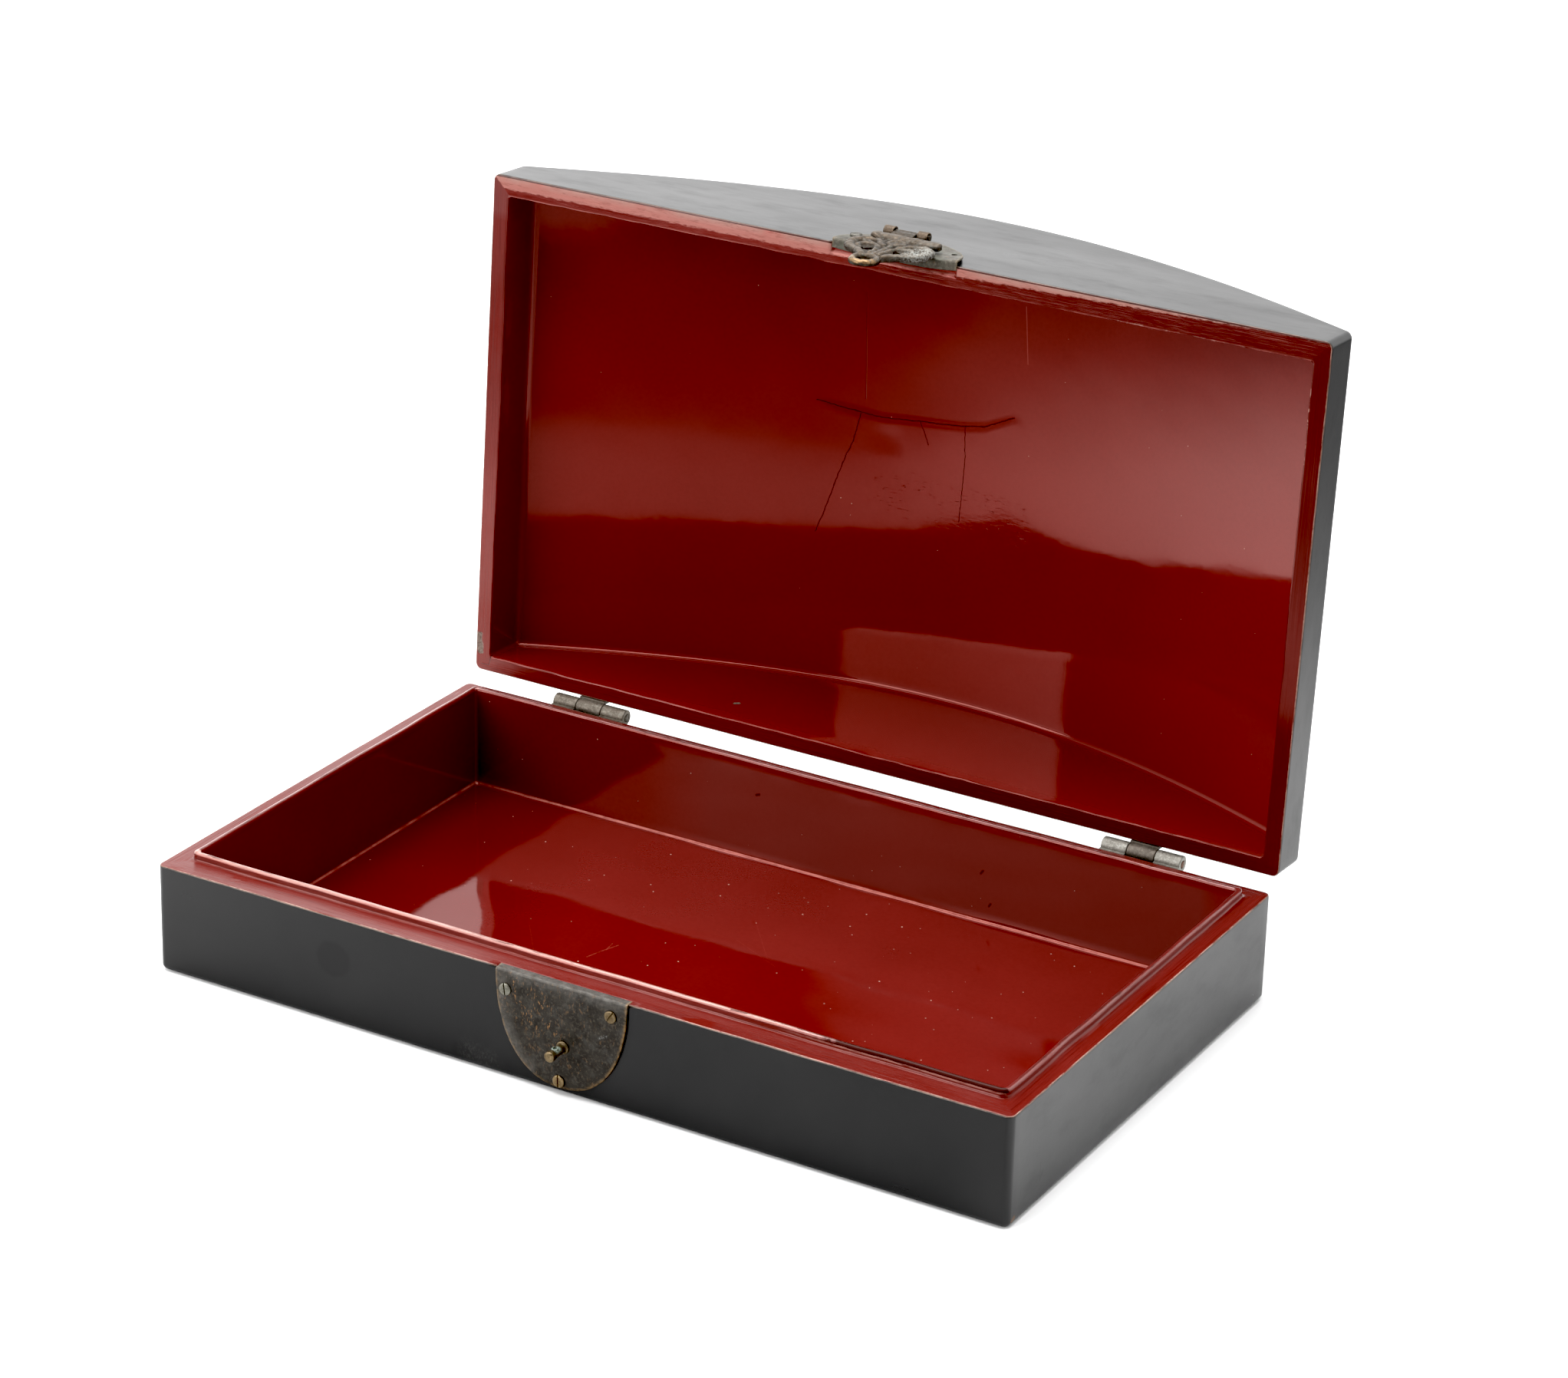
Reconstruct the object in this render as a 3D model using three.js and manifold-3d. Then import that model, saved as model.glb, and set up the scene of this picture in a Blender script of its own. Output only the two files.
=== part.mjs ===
// Lacquered wooden box with a domed, hinged lid, a lock plate and a pierced hasp.
// Millimetres, +Z up, front towards -Y. The origin is the middle of the underside of the base.
// Every lid piece is drawn where it lies with the lid closed, and the lid group opens them.
import * as THREE from 'three';
import { mergeVertices } from 'three/addons/utils/BufferGeometryUtils.js';
import Module from 'manifold-3d';

const wasm = await Module();
wasm.setup();

// ---------- driving dimensions ----------
const LENGTH = 380;          // along X
const DEPTH = 218.8;         // along Y
const BASE_H = 45.7;         // rim of the base above the table
const CORNER_R = 3;          // upright outer corners
const FOOT_R = 2.4;          // rounding of the base's lower outer edge
const GLUE = 0.2;            // gap kept at each glued joint of the base
const LID_GLUE = 0.3;        // the same in the lid, which is turned
const PARTING = 0.3;         // gap between the two rims when closed

const FRONT_T = 11.2;        // base front board
const BACK_T = 7.6;          // base back board
const END_T = 8.0;           // base end boards
const FLOOR_T = 4.5;         // bottom board
const LIP_T = 2.6;           // liner strips, which stand above the rim as a lip
const LIP_H = 3.3;           // height of the lip above the rim

const LID_FRONT_T = 8.9;
const LID_BACK_T = 7.0;
const LID_END_T = 7.4;
const CROWN_T = 4.0;         // bent crown panel
const CROWN_H = 80;          // top of the crown above the lid's rim
const ARCH_A = 1.88e-3;      // drop of the arch = A x^2 - B x^4
const ARCH_B = 6.9e-9;
const CROWN_R = 3.5;         // rounding between the crown and the front and back

const LID_OPEN = THREE.MathUtils.degToRad(93.8);
const AXIS_Y = DEPTH / 2 + 4.6;
const AXIS_Z = 45.65;

const HINGE_X = [-130, 131.5];
const HINGE_W = 35;          // barrel length
const KNUCKLE_R = 3.5;
const MID_KNUCKLE = 12.2;    // the lid leaf's knuckle
const KNUCKLE_GAP = 0.15;
const BORE_R = 1.65;
const PIN_R = 1.58;
const LEAF_T = 1.3;
const LEAF_H = 22;

const PLATE_T = 1.0;         // lock plate and hasp plate
const PLATE_OFF = 0.1;       // gap behind them
const LOCK_X = -0.5;
const LOCK_HALF_W = 29.3;
const LOCK_BOTTOM = 2.4;
const FLANGE_IN = 3.2;       // how far the folded flanges reach over the rims
const STUD_X = 0.8;
const STUD_Z = 20.2;
const STUD_LEN = 10;

const HASP_PLATE_HALF_W = 28.3;
const HASP_PLATE_H = 24.5;
const BAR_OUT = 3.6;         // hasp bar's axis in front of the lid's face
const BAR_UP = 18.4;         // and above the lid's rim
const BAR_R = 1.4;
const LOOP_X = [-11.8, 3.4];
const LOOP_W = 4.5;
const LOOP_IN_R = 1.62;
const LOOP_OUT_R = 2.4;
const NECK_X = -4.2;
const BODY_X = 0.8;          // middle of the hasp's scroll body and ring
const RING_D = 44.1;         // bar to ring
const RING_R = 6.3;
const RING_HOLE_R = 3.4;
const HASP_DROOP = THREE.MathUtils.degToRad(1.2);
const HASP_TOP = 1.7;        // metal in front of the bar's axis
const HASP_UNDER = 1.3;      // and behind it

const L2 = LENGTH / 2;
const D2 = DEPTH / 2;
const LID_Z = BASE_H + PARTING;

// ---------- solids ----------
function solid(geometry) {
  const g = geometry.clone();
  g.deleteAttribute('normal');
  g.deleteAttribute('uv');
  const m = mergeVertices(g, 1e-4);
  const p = m.attributes.position.array;
  const t = m.index.array;
  let v = 0;
  const a = new THREE.Vector3(), b = new THREE.Vector3(), c = new THREE.Vector3();
  const keep = [];
  for (let i = 0; i < t.length; i += 3) {
    if (t[i] === t[i + 1] || t[i + 1] === t[i + 2] || t[i] === t[i + 2]) continue;
    a.fromArray(p, 3 * t[i]);
    b.fromArray(p, 3 * t[i + 1]);
    c.fromArray(p, 3 * t[i + 2]);
    v += a.dot(b.clone().cross(c));
    keep.push(t[i], t[i + 1], t[i + 2]);
  }
  if (v < 0) for (let i = 0; i < keep.length; i += 3) [keep[i], keep[i + 1]] = [keep[i + 1], keep[i]];
  return new wasm.Manifold(new wasm.Mesh({
    numProp: 3, vertProperties: new Float32Array(p), triVerts: new Uint32Array(keep),
  }));
}

function geometryOf(man) {
  const mesh = man.getMesh();
  const g = new THREE.BufferGeometry();
  g.setAttribute('position', new THREE.BufferAttribute(new Float32Array(mesh.vertProperties), 3));
  g.setIndex(new THREE.BufferAttribute(new Uint32Array(mesh.triVerts), 1));
  g.computeVertexNormals();
  return g;
}

function box(x0, x1, y0, y1, z0, z1) {
  const g = new THREE.BoxGeometry(x1 - x0, y1 - y0, z1 - z0);
  g.translate((x0 + x1) / 2, (y0 + y1) / 2, (z0 + z1) / 2);
  return solid(g);
}

const FACE_FRONT = new THREE.Matrix4().makeBasis(
  new THREE.Vector3(1, 0, 0), new THREE.Vector3(0, 0, 1), new THREE.Vector3(0, -1, 0));
const FACE_END = new THREE.Matrix4().makeBasis(
  new THREE.Vector3(0, 1, 0), new THREE.Vector3(0, 0, 1), new THREE.Vector3(1, 0, 0));

// an XZ outline, extruded from y = back to y = front (towards -Y)
function prismY(shape, back, front, bevel = 0, segments = 3) {
  const g = new THREE.ExtrudeGeometry(shape, {
    depth: back - front - 2 * bevel, steps: 1, curveSegments: 12,
    bevelEnabled: bevel > 0, bevelThickness: bevel, bevelSize: bevel, bevelOffset: -bevel, bevelSegments: segments,
  });
  g.applyMatrix4(FACE_FRONT);
  g.translate(0, back - bevel, 0);
  return solid(g);
}

// a YZ outline, extruded from x0 to x1
function prismX(shape, x0, x1) {
  const g = new THREE.ExtrudeGeometry(shape, { depth: x1 - x0, steps: 1, curveSegments: 8, bevelEnabled: false });
  g.applyMatrix4(FACE_END);
  g.translate(x0, 0, 0);
  return solid(g);
}

// an XY outline, extruded upwards from z0, with its two ends rounded
function prismZ(shape, z0, z1, bevel = 0) {
  const g = new THREE.ExtrudeGeometry(shape, {
    depth: z1 - z0 - 2 * bevel, steps: 1, curveSegments: 4,
    bevelEnabled: bevel > 0, bevelThickness: bevel, bevelSize: bevel, bevelOffset: -bevel, bevelSegments: 3,
  });
  g.translate(0, 0, z0 + bevel);
  return solid(g);
}

function barX(r, x0, x1, y, z, n = 18) {
  const g = new THREE.CylinderGeometry(r, r, x1 - x0, n);
  g.rotateZ(Math.PI / 2);
  g.translate((x0 + x1) / 2, y, z);
  return solid(g);
}

// a rod along Y, from y0 to y1
function rodY(r, x, z, y0, y1, n = 12) {
  const g = new THREE.CylinderGeometry(r, r, y1 - y0, n);
  g.translate(x, (y0 + y1) / 2, z);
  return solid(g);
}

function polygon(points) {
  const s = new THREE.Shape();
  s.moveTo(points[0][0], points[0][1]);
  for (let i = 1; i < points.length; i++) s.lineTo(points[i][0], points[i][1]);
  s.closePath();
  return s;
}

function roundedRectangle(x0, x1, y0, y1, r) {
  const s = new THREE.Shape();
  s.moveTo(x0 + r, y0);
  s.lineTo(x1 - r, y0);
  s.absarc(x1 - r, y0 + r, r, -Math.PI / 2, 0, false);
  s.lineTo(x1, y1 - r);
  s.absarc(x1 - r, y1 - r, r, 0, Math.PI / 2, false);
  s.lineTo(x0 + r, y1);
  s.absarc(x0 + r, y1 - r, r, Math.PI / 2, Math.PI, false);
  s.lineTo(x0, y0 + r);
  s.absarc(x0 + r, y0 + r, r, Math.PI, 1.5 * Math.PI, false);
  return s;
}

// a slotted screw on its own axis: the head stands on z = 0 and the shank runs down -Z
function screwGeometry(headR, headH, shankR, shankL, slotTurn) {
  const pts = [
    new THREE.Vector2(0, -shankL), new THREE.Vector2(shankR, -shankL + 1.6),
    new THREE.Vector2(shankR, 0.06), new THREE.Vector2(headR, 0.06), new THREE.Vector2(headR, headH * 0.45),
    new THREE.Vector2(headR * 0.7, headH), new THREE.Vector2(0, headH),
  ];
  const g = new THREE.LatheGeometry(pts, 14);
  g.rotateX(Math.PI / 2);
  let s = solid(g);
  const slot = new THREE.BoxGeometry(headR * 2.4, 0.7, 1.2);
  slot.translate(0, 0, headH);
  slot.rotateZ(slotTurn);
  s = s.subtract(solid(slot));
  return geometryOf(s);
}

// ---------- materials ----------
const paint = (name, color, roughness, metalness) => new THREE.MeshStandardMaterial({ name, color, roughness, metalness });
const black = () => paint('black_lacquer', 0x1d1c1c, 0.45, 0);
const red = () => paint('red_lacquer', 0x8c1a14, 0.25, 0);
const bronze = () => paint('bronze', 0x4b443a, 0.55, 0.85);
const brass = () => paint('brass', 0x8a6f45, 0.45, 0.9);

function mesh(name, man, material) {
  const m = new THREE.Mesh(man instanceof THREE.BufferGeometry ? man : geometryOf(man), material);
  m.name = name;
  return m;
}

// ---------- base ----------
const base = new THREE.Group();
const baseEnvelope = prismZ(roundedRectangle(-L2, L2, -D2, D2, CORNER_R), 0, BASE_H + 10, FOOT_R);
const lockScrews = [
  ['lock_plate_screw_left', -25.2, 37.6, Math.PI / 2],
  ['lock_plate_screw_right', 21.8, 39.0, Math.PI / 3.2],
  ['lock_plate_screw_bottom', -1.0, 5.3, Math.PI / 2],
];
const leafScrewX = [-10.5, 10.5];
const LEAF_SCREW_DZ = 12.5;

let frontBoard = baseEnvelope.intersect(box(-L2 - 1, L2 + 1, -D2 - 1, -D2 + FRONT_T, -1, BASE_H));
frontBoard = frontBoard.subtract(box(LOCK_X - LOCK_HALF_W - 0.3, LOCK_X + LOCK_HALF_W + 0.3, -D2 - 1, -D2 + FLANGE_IN + 0.3, BASE_H - PLATE_T - 0.3, BASE_H + 1));
for (const [, x, z] of lockScrews) frontBoard = frontBoard.subtract(rodY(1.35, x, z, -D2 - 1, -D2 + 8.5));
frontBoard = frontBoard.subtract(rodY(1.75, STUD_X, STUD_Z, -D2 - 1, -D2 + 8.5));
base.add(mesh('base_front_board', frontBoard, black()));

let backBoard = baseEnvelope.intersect(box(-L2 - 1, L2 + 1, D2 - BACK_T, D2 + 1, -1, BASE_H));
for (const hx of HINGE_X) for (const dx of leafScrewX) {
  backBoard = backBoard.subtract(rodY(1.25, hx + dx, AXIS_Z - LEAF_SCREW_DZ, D2 - 5.8, D2 + 1));
}
base.add(mesh('base_back_board', backBoard, black()));

const yFrontIn = -D2 + FRONT_T + GLUE;
const yBackIn = D2 - BACK_T - GLUE;
const xEndIn = L2 - END_T;
base.add(mesh('base_left_end_board', baseEnvelope.intersect(box(-L2 - 1, -xEndIn, yFrontIn, yBackIn, -1, BASE_H)), black()));
base.add(mesh('base_right_end_board', baseEnvelope.intersect(box(xEndIn, L2 + 1, yFrontIn, yBackIn, -1, BASE_H)), black()));
base.add(mesh('base_bottom_board', box(-xEndIn + GLUE, xEndIn - GLUE, yFrontIn, yBackIn, 0, FLOOR_T), black()));

// liner strips: the long ones run the whole way, the short ones stand between them
const zLip0 = FLOOR_T + GLUE;
const zLip1 = BASE_H + LIP_H;
function liner(x0, x1, y0, y1) {
  return box(x0, x1, y0, y1, zLip0, zLip1);
}
const xl = xEndIn - GLUE;
base.add(mesh('lip_strip_front', liner(-xl, xl, yFrontIn, yFrontIn + LIP_T), red()));
base.add(mesh('lip_strip_back', liner(-xl, xl, yBackIn - LIP_T, yBackIn), red()));
base.add(mesh('lip_strip_left', liner(-xl, -xl + LIP_T, yFrontIn + LIP_T + GLUE, yBackIn - LIP_T - GLUE), red()));
base.add(mesh('lip_strip_right', liner(xl - LIP_T, xl, yFrontIn + LIP_T + GLUE, yBackIn - LIP_T - GLUE), red()));

// half-moon plate folded over the rim
function halfMoon(cx, halfW, zEdge, height, up, n = 2.25, count = 40) {
  const pts = [];
  for (let i = 0; i <= count; i++) {
    const t = Math.PI * i / count;
    const c = Math.cos(t), s = Math.sin(t);
    pts.push([cx + halfW * Math.sign(c) * Math.pow(Math.abs(c), 2 / n), zEdge + (up ? 1 : -1) * height * Math.pow(Math.max(s, 0), 2 / n)]);
  }
  if (!up) pts.reverse();
  return polygon(pts);
}
function foldProfile(zEdge, up) {
  const d = up ? 1 : -1;
  const y0 = -D2 - PLATE_OFF - PLATE_T;
  const y1 = -D2 - PLATE_OFF;
  const y2 = -D2 + FLANGE_IN;
  const pts = [[y0 + 0.6, zEdge], [y0 + 0.18, zEdge + 0.18 * d], [y0, zEdge + 0.6 * d], [y0, zEdge + 60 * d], [y1, zEdge + 60 * d],
    [y1, zEdge + PLATE_T * d], [y2, zEdge + PLATE_T * d], [y2, zEdge]];
  if (up) pts.reverse();
  return polygon(pts);
}
let lockPlate = prismY(halfMoon(LOCK_X, LOCK_HALF_W, BASE_H + 0.01, BASE_H - LOCK_BOTTOM, false), -D2 + 10, -D2 - 10);
lockPlate = lockPlate.intersect(prismX(foldProfile(BASE_H, false), -60, 60));
for (const [, x, z] of lockScrews) lockPlate = lockPlate.subtract(rodY(1.4, x, z, -D2 - 3, -D2 + 1));
lockPlate = lockPlate.subtract(rodY(1.8, STUD_X, STUD_Z, -D2 - 3, -D2 + 1));
base.add(mesh('lock_plate', lockPlate, bronze()));
for (const [name, x, z, turn] of lockScrews) {
  const m = mesh(name, screwGeometry(2.55, 0.75, 1.2, 7, turn), brass());
  m.rotation.x = Math.PI / 2;
  m.position.set(x, -D2 - PLATE_OFF - PLATE_T, z);
  base.add(m);
}

// stud: shank through the plate, thin collar, post with a cross hole, flat end
{
  const pts = [
    [0, -8], [1.6, -8], [1.6, 0.06], [2.3, 0.06], [2.3, 0.22], [1.9, 0.5], [1.9, STUD_LEN - 3.2], [2.15, STUD_LEN - 2.8],
    [2.15, STUD_LEN - 0.3], [1.85, STUD_LEN], [0, STUD_LEN],
  ].map(([x, y]) => new THREE.Vector2(x, y));
  const g = new THREE.LatheGeometry(pts, 20);
  g.rotateX(Math.PI / 2);
  let s = solid(g);
  const hole = new THREE.CylinderGeometry(0.9, 0.9, 8, 12);
  hole.translate(0, 0, STUD_LEN - 4.6);
  s = s.subtract(solid(hole));
  const m = mesh('lock_stud', geometryOf(s), brass());
  m.rotation.x = Math.PI / 2;
  m.position.set(STUD_X, -D2 - PLATE_OFF - PLATE_T, STUD_Z);
  base.add(m);
}

// ---------- hinges ----------
const sides = ['left', 'right'];
function tube(x0, x1) {
  return barX(KNUCKLE_R, x0, x1, AXIS_Y, AXIS_Z).subtract(barX(BORE_R, x0 - 1, x1 + 1, AXIS_Y, AXIS_Z));
}
function leafPlate(hx, up) {
  const y0 = D2 + 0.12, y1 = D2 + 0.12 + LEAF_T;
  const z0 = up ? AXIS_Z : AXIS_Z - LEAF_H;
  const z1 = up ? AXIS_Z + LEAF_H : AXIS_Z;
  const far = up ? z1 : z0;
  const rounded = new THREE.Shape();
  const r = 4, xa = hx - HINGE_W / 2, xb = hx + HINGE_W / 2;
  if (up) {
    rounded.moveTo(xa, z0); rounded.lineTo(xb, z0); rounded.lineTo(xb, far - r);
    rounded.absarc(xb - r, far - r, r, 0, Math.PI / 2, false);
    rounded.lineTo(xa + r, far);
    rounded.absarc(xa + r, far - r, r, Math.PI / 2, Math.PI, false);
  } else {
    rounded.moveTo(xb, z1); rounded.lineTo(xa, z1); rounded.lineTo(xa, far + r);
    rounded.absarc(xa + r, far + r, r, Math.PI, 1.5 * Math.PI, false);
    rounded.lineTo(xb - r, far);
    rounded.absarc(xb - r, far + r, r, 1.5 * Math.PI, 2 * Math.PI, false);
  }
  return prismY(rounded, y1, y0);
}
const lid = new THREE.Group();
lid.position.set(0, AXIS_Y, AXIS_Z);
lid.rotation.x = -LID_OPEN;
const closed = new THREE.Group();
closed.position.set(0, -AXIS_Y, -AXIS_Z);
lid.add(closed);

HINGE_X.forEach((hx, i) => {
  const half = HINGE_W / 2, mid = MID_KNUCKLE / 2;
  // base leaf, with the two outer knuckles
  let lower = leafPlate(hx, false).subtract(box(hx - mid - 0.35, hx + mid + 0.35, D2 - 1, D2 + 4, AXIS_Z - 4.3, AXIS_Z + 2));
  const sleeve = barX(BORE_R, hx - half - 1, hx + half + 1, AXIS_Y, AXIS_Z);
  lower = lower.add(tube(hx - half, hx - mid - KNUCKLE_GAP)).add(tube(hx + mid + KNUCKLE_GAP, hx + half)).subtract(sleeve);
  for (const dx of leafScrewX) lower = lower.subtract(rodY(1.3, hx + dx, AXIS_Z - LEAF_SCREW_DZ, D2 - 1, D2 + 4));
  base.add(mesh(`hinge_${sides[i]}_base_leaf`, lower, bronze()));
  // lid leaf, with the middle knuckle
  let upper = leafPlate(hx, true)
    .subtract(box(hx - half - 1, hx - mid, D2 - 1, D2 + 4, AXIS_Z - 2, AXIS_Z + 4.3))
    .subtract(box(hx + mid, hx + half + 1, D2 - 1, D2 + 4, AXIS_Z - 2, AXIS_Z + 4.3));
  upper = upper.add(tube(hx - mid, hx + mid)).subtract(sleeve);
  for (const dx of leafScrewX) upper = upper.subtract(rodY(1.3, hx + dx, AXIS_Z + LEAF_SCREW_DZ, D2 - 1, D2 + 4));
  closed.add(mesh(`hinge_${sides[i]}_lid_leaf`, upper, bronze()));
  base.add(mesh(`hinge_${sides[i]}_pin`, barX(PIN_R, hx - half + 0.1, hx + half + 0.25, AXIS_Y, AXIS_Z), brass()));
  leafScrewX.forEach((dx, j) => {
    const a = mesh(`hinge_${sides[i]}_base_screw_${j + 1}`, screwGeometry(2.3, 0.6, 1.05, 5.6, 0.4 + j), brass());
    a.rotation.x = -Math.PI / 2;
    a.position.set(hx + dx, D2 + 0.12 + LEAF_T, AXIS_Z - LEAF_SCREW_DZ);
    base.add(a);
    const b = mesh(`hinge_${sides[i]}_lid_screw_${j + 1}`, screwGeometry(2.3, 0.6, 1.05, 5.6, 1.1 + j), brass());
    b.rotation.x = -Math.PI / 2;
    b.position.set(hx + dx, D2 + 0.12 + LEAF_T, AXIS_Z + LEAF_SCREW_DZ);
    closed.add(b);
  });
});

// ---------- lid ----------
const archDrop = (x) => ARCH_A * x * x - ARCH_B * x * x * x * x;
function archShape(offset, halfW, zLow, count = 44) {
  const pts = [[-halfW, zLow]];
  pts.push([halfW, zLow]);
  for (let i = count; i >= 0; i--) {
    const x = -halfW + 2 * halfW * i / count;
    const slope = 2 * ARCH_A * x - 4 * ARCH_B * x * x * x;
    const z = LID_Z + CROWN_H - archDrop(x) - offset * Math.sqrt(1 + slope * slope);
    pts.push([x, z]);
  }
  return polygon(pts);
}
const lidEnvelope = prismY(archShape(0, L2, LID_Z - 12), D2, -D2, CROWN_R).intersect(
  prismZ(roundedRectangle(-L2, L2, -D2, D2, CORNER_R), LID_Z, LID_Z + 120));
const underCrown = prismY(archShape(CROWN_T + LID_GLUE, L2 + 5, LID_Z - 5), D2 + 5, -D2 - 5);
const crownCut = prismY(archShape(CROWN_T, L2 + 5, LID_Z - 5), D2 + 5, -D2 - 5);

let lidFront = lidEnvelope.intersect(box(-L2 - 1, L2 + 1, -D2 - 1, -D2 + LID_FRONT_T, LID_Z - 1, LID_Z + 100)).intersect(underCrown);
lidFront = lidFront.subtract(box(-HASP_PLATE_HALF_W - 0.3, HASP_PLATE_HALF_W + 0.3, -D2 - 1, -D2 + FLANGE_IN + 0.3, LID_Z - 1, LID_Z + PLATE_T + 0.3));
for (const x of LOOP_X) {
  lidFront = lidFront.subtract(box(x - LOOP_W / 2 - 0.25, x + LOOP_W / 2 + 0.25, -D2 - 1, -D2 + 6.3, LID_Z + BAR_UP - 1.1, LID_Z + BAR_UP + 1.1));
}
lidFront = lidFront.subtract(rodY(1.35, -22.6, LID_Z + 9.6, -D2 - 1, -D2 + 7));
lidFront = lidFront.subtract(rodY(1.2, 21.6, LID_Z + 10.6, -D2 - 1, -D2 + 6));
closed.add(mesh('lid_front_board', lidFront, black()));

let lidBack = lidEnvelope.intersect(box(-L2 - 1, L2 + 1, D2 - LID_BACK_T, D2 + 1, LID_Z - 1, LID_Z + 100)).intersect(underCrown);
for (const hx of HINGE_X) for (const dx of leafScrewX) {
  lidBack = lidBack.subtract(rodY(1.25, hx + dx, AXIS_Z + LEAF_SCREW_DZ, D2 - 5.8, D2 + 1));
}
closed.add(mesh('lid_back_board', lidBack, black()));

const lidEndY0 = -D2 + LID_FRONT_T + LID_GLUE;
const lidEndY1 = D2 - LID_BACK_T - LID_GLUE;
closed.add(mesh('lid_left_end_board', lidEnvelope.intersect(box(-L2 - 1, -L2 + LID_END_T, lidEndY0, lidEndY1, LID_Z - 1, LID_Z + 100)).intersect(underCrown), black()));
closed.add(mesh('lid_right_end_board', lidEnvelope.intersect(box(L2 - LID_END_T, L2 + 1, lidEndY0, lidEndY1, LID_Z - 1, LID_Z + 100)).intersect(underCrown), black()));
closed.add(mesh('lid_crown_panel', lidEnvelope.subtract(crownCut), black()));

// half-moon plate on the lid, folded under the lid's rim
let haspPlate = prismY(halfMoon(0, HASP_PLATE_HALF_W, LID_Z - 0.01, HASP_PLATE_H, true, 2.0), -D2 + 10, -D2 - 10);
haspPlate = haspPlate.intersect(prismX(foldProfile(LID_Z, true), -60, 60));
for (const x of LOOP_X) {
  haspPlate = haspPlate.subtract(box(x - LOOP_W / 2 - 0.25, x + LOOP_W / 2 + 0.25, -D2 - 3, -D2 + 1, LID_Z + BAR_UP - 1.1, LID_Z + BAR_UP + 1.1));
}
haspPlate = haspPlate.subtract(rodY(1.4, -22.6, LID_Z + 9.6, -D2 - 3, -D2 + 1));
haspPlate = haspPlate.subtract(rodY(1.3, 21.6, LID_Z + 10.6, -D2 - 3, -D2 + 1));
closed.add(mesh('hasp_plate', haspPlate, bronze()));
{
  const m = mesh('hasp_plate_screw', screwGeometry(2.5, 1.1, 1.15, 6, 0.5), brass());
  m.rotation.x = Math.PI / 2;
  m.position.set(-22.6, -D2 - PLATE_OFF - PLATE_T, LID_Z + 9.6);
  closed.add(m);
}
// strip loops that hold the hasp's bar, with doubled tails let into the board
const barY = -D2 - BAR_OUT;
const barZ = LID_Z + BAR_UP;
LOOP_X.forEach((x, i) => {
  let s = barX(LOOP_OUT_R, x - LOOP_W / 2, x + LOOP_W / 2, barY, barZ, 20);
  s = s.add(box(x - LOOP_W / 2, x + LOOP_W / 2, barY, -D2 + 6, barZ - 0.8, barZ + 0.8));
  s = s.subtract(barX(LOOP_IN_R, x - 5, x + 5, barY, barZ, 20));
  closed.add(mesh(`hasp_loop_${sides[i]}`, s, brass()));
});

// ---------- hasp ----------
// drawn with its bar on the X axis and its ring hanging down -Z
const half = [
  [5.0, 6.9], [10.5, 6.6], [14.2, 7.3], [15.9, 9.4], [15.0, 11.9], [11.6, 12.9], [9.6, 14.6], [10.6, 16.4],
  [13.2, 15.4], [16.4, 16.4], [18.4, 20.2], [18.7, 25.4], [16.9, 30.4], [13.4, 33.9], [9.6, 36.2], [7.2, 38.6],
];
const outline = [];
for (const [x, d] of half) outline.push(new THREE.Vector3(BODY_X + x, -d, 0));
for (let i = 0; i <= 12; i++) {
  const t = THREE.MathUtils.degToRad(30 - i * 240 / 12);
  outline.push(new THREE.Vector3(BODY_X + RING_R * Math.cos(t), -RING_D + RING_R * Math.sin(t), 0));
}
for (const [x, d] of [...half].reverse()) outline.push(new THREE.Vector3(BODY_X - x, -d, 0));
const haspCurve = new THREE.CatmullRomCurve3(outline, true, 'centripetal');
const haspPts = haspCurve.getPoints(150).slice(0, -1).map((p) => [p.x, p.y]);
let hasp = prismY(polygon(haspPts), HASP_UNDER, -HASP_TOP);
function hole(x, d, rx, rd, turn) {
  const g = new THREE.CylinderGeometry(1, 1, 10, 16);
  g.scale(rx, 1, rd);
  g.rotateY(turn);
  g.translate(x, 0, -d);
  return solid(g);
}
hasp = hasp.subtract(hole(BODY_X, RING_D, RING_HOLE_R, RING_HOLE_R, 0));
hasp = hasp.subtract(hole(BODY_X - 6.6, 29.6, 1.7, 2.9, 0.6));
hasp = hasp.subtract(hole(BODY_X + 6.6, 29.6, 1.7, 2.9, -0.6));
hasp = hasp.add(box(NECK_X - 5.0, NECK_X + 5.0, -1.2, 1.2, -9, 0.4));
hasp = hasp.add(barX(BAR_R, NECK_X - 10.4, NECK_X + 10.4, 0, 0, 20));
const haspGroup = new THREE.Group();
haspGroup.position.set(0, barY, barZ);
haspGroup.rotation.x = HASP_DROOP;
haspGroup.add(mesh('hasp', hasp, bronze()));
closed.add(haspGroup);

const part = new THREE.Group();
part.add(base);
part.add(lid);
export default part;
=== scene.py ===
"""Looks of a lacquered box with a domed lid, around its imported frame. Lengths in the code are millimetres unless a name says metres."""
import math

import bmesh
import bpy
import numpy as np
from mathutils import Matrix, Vector


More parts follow.
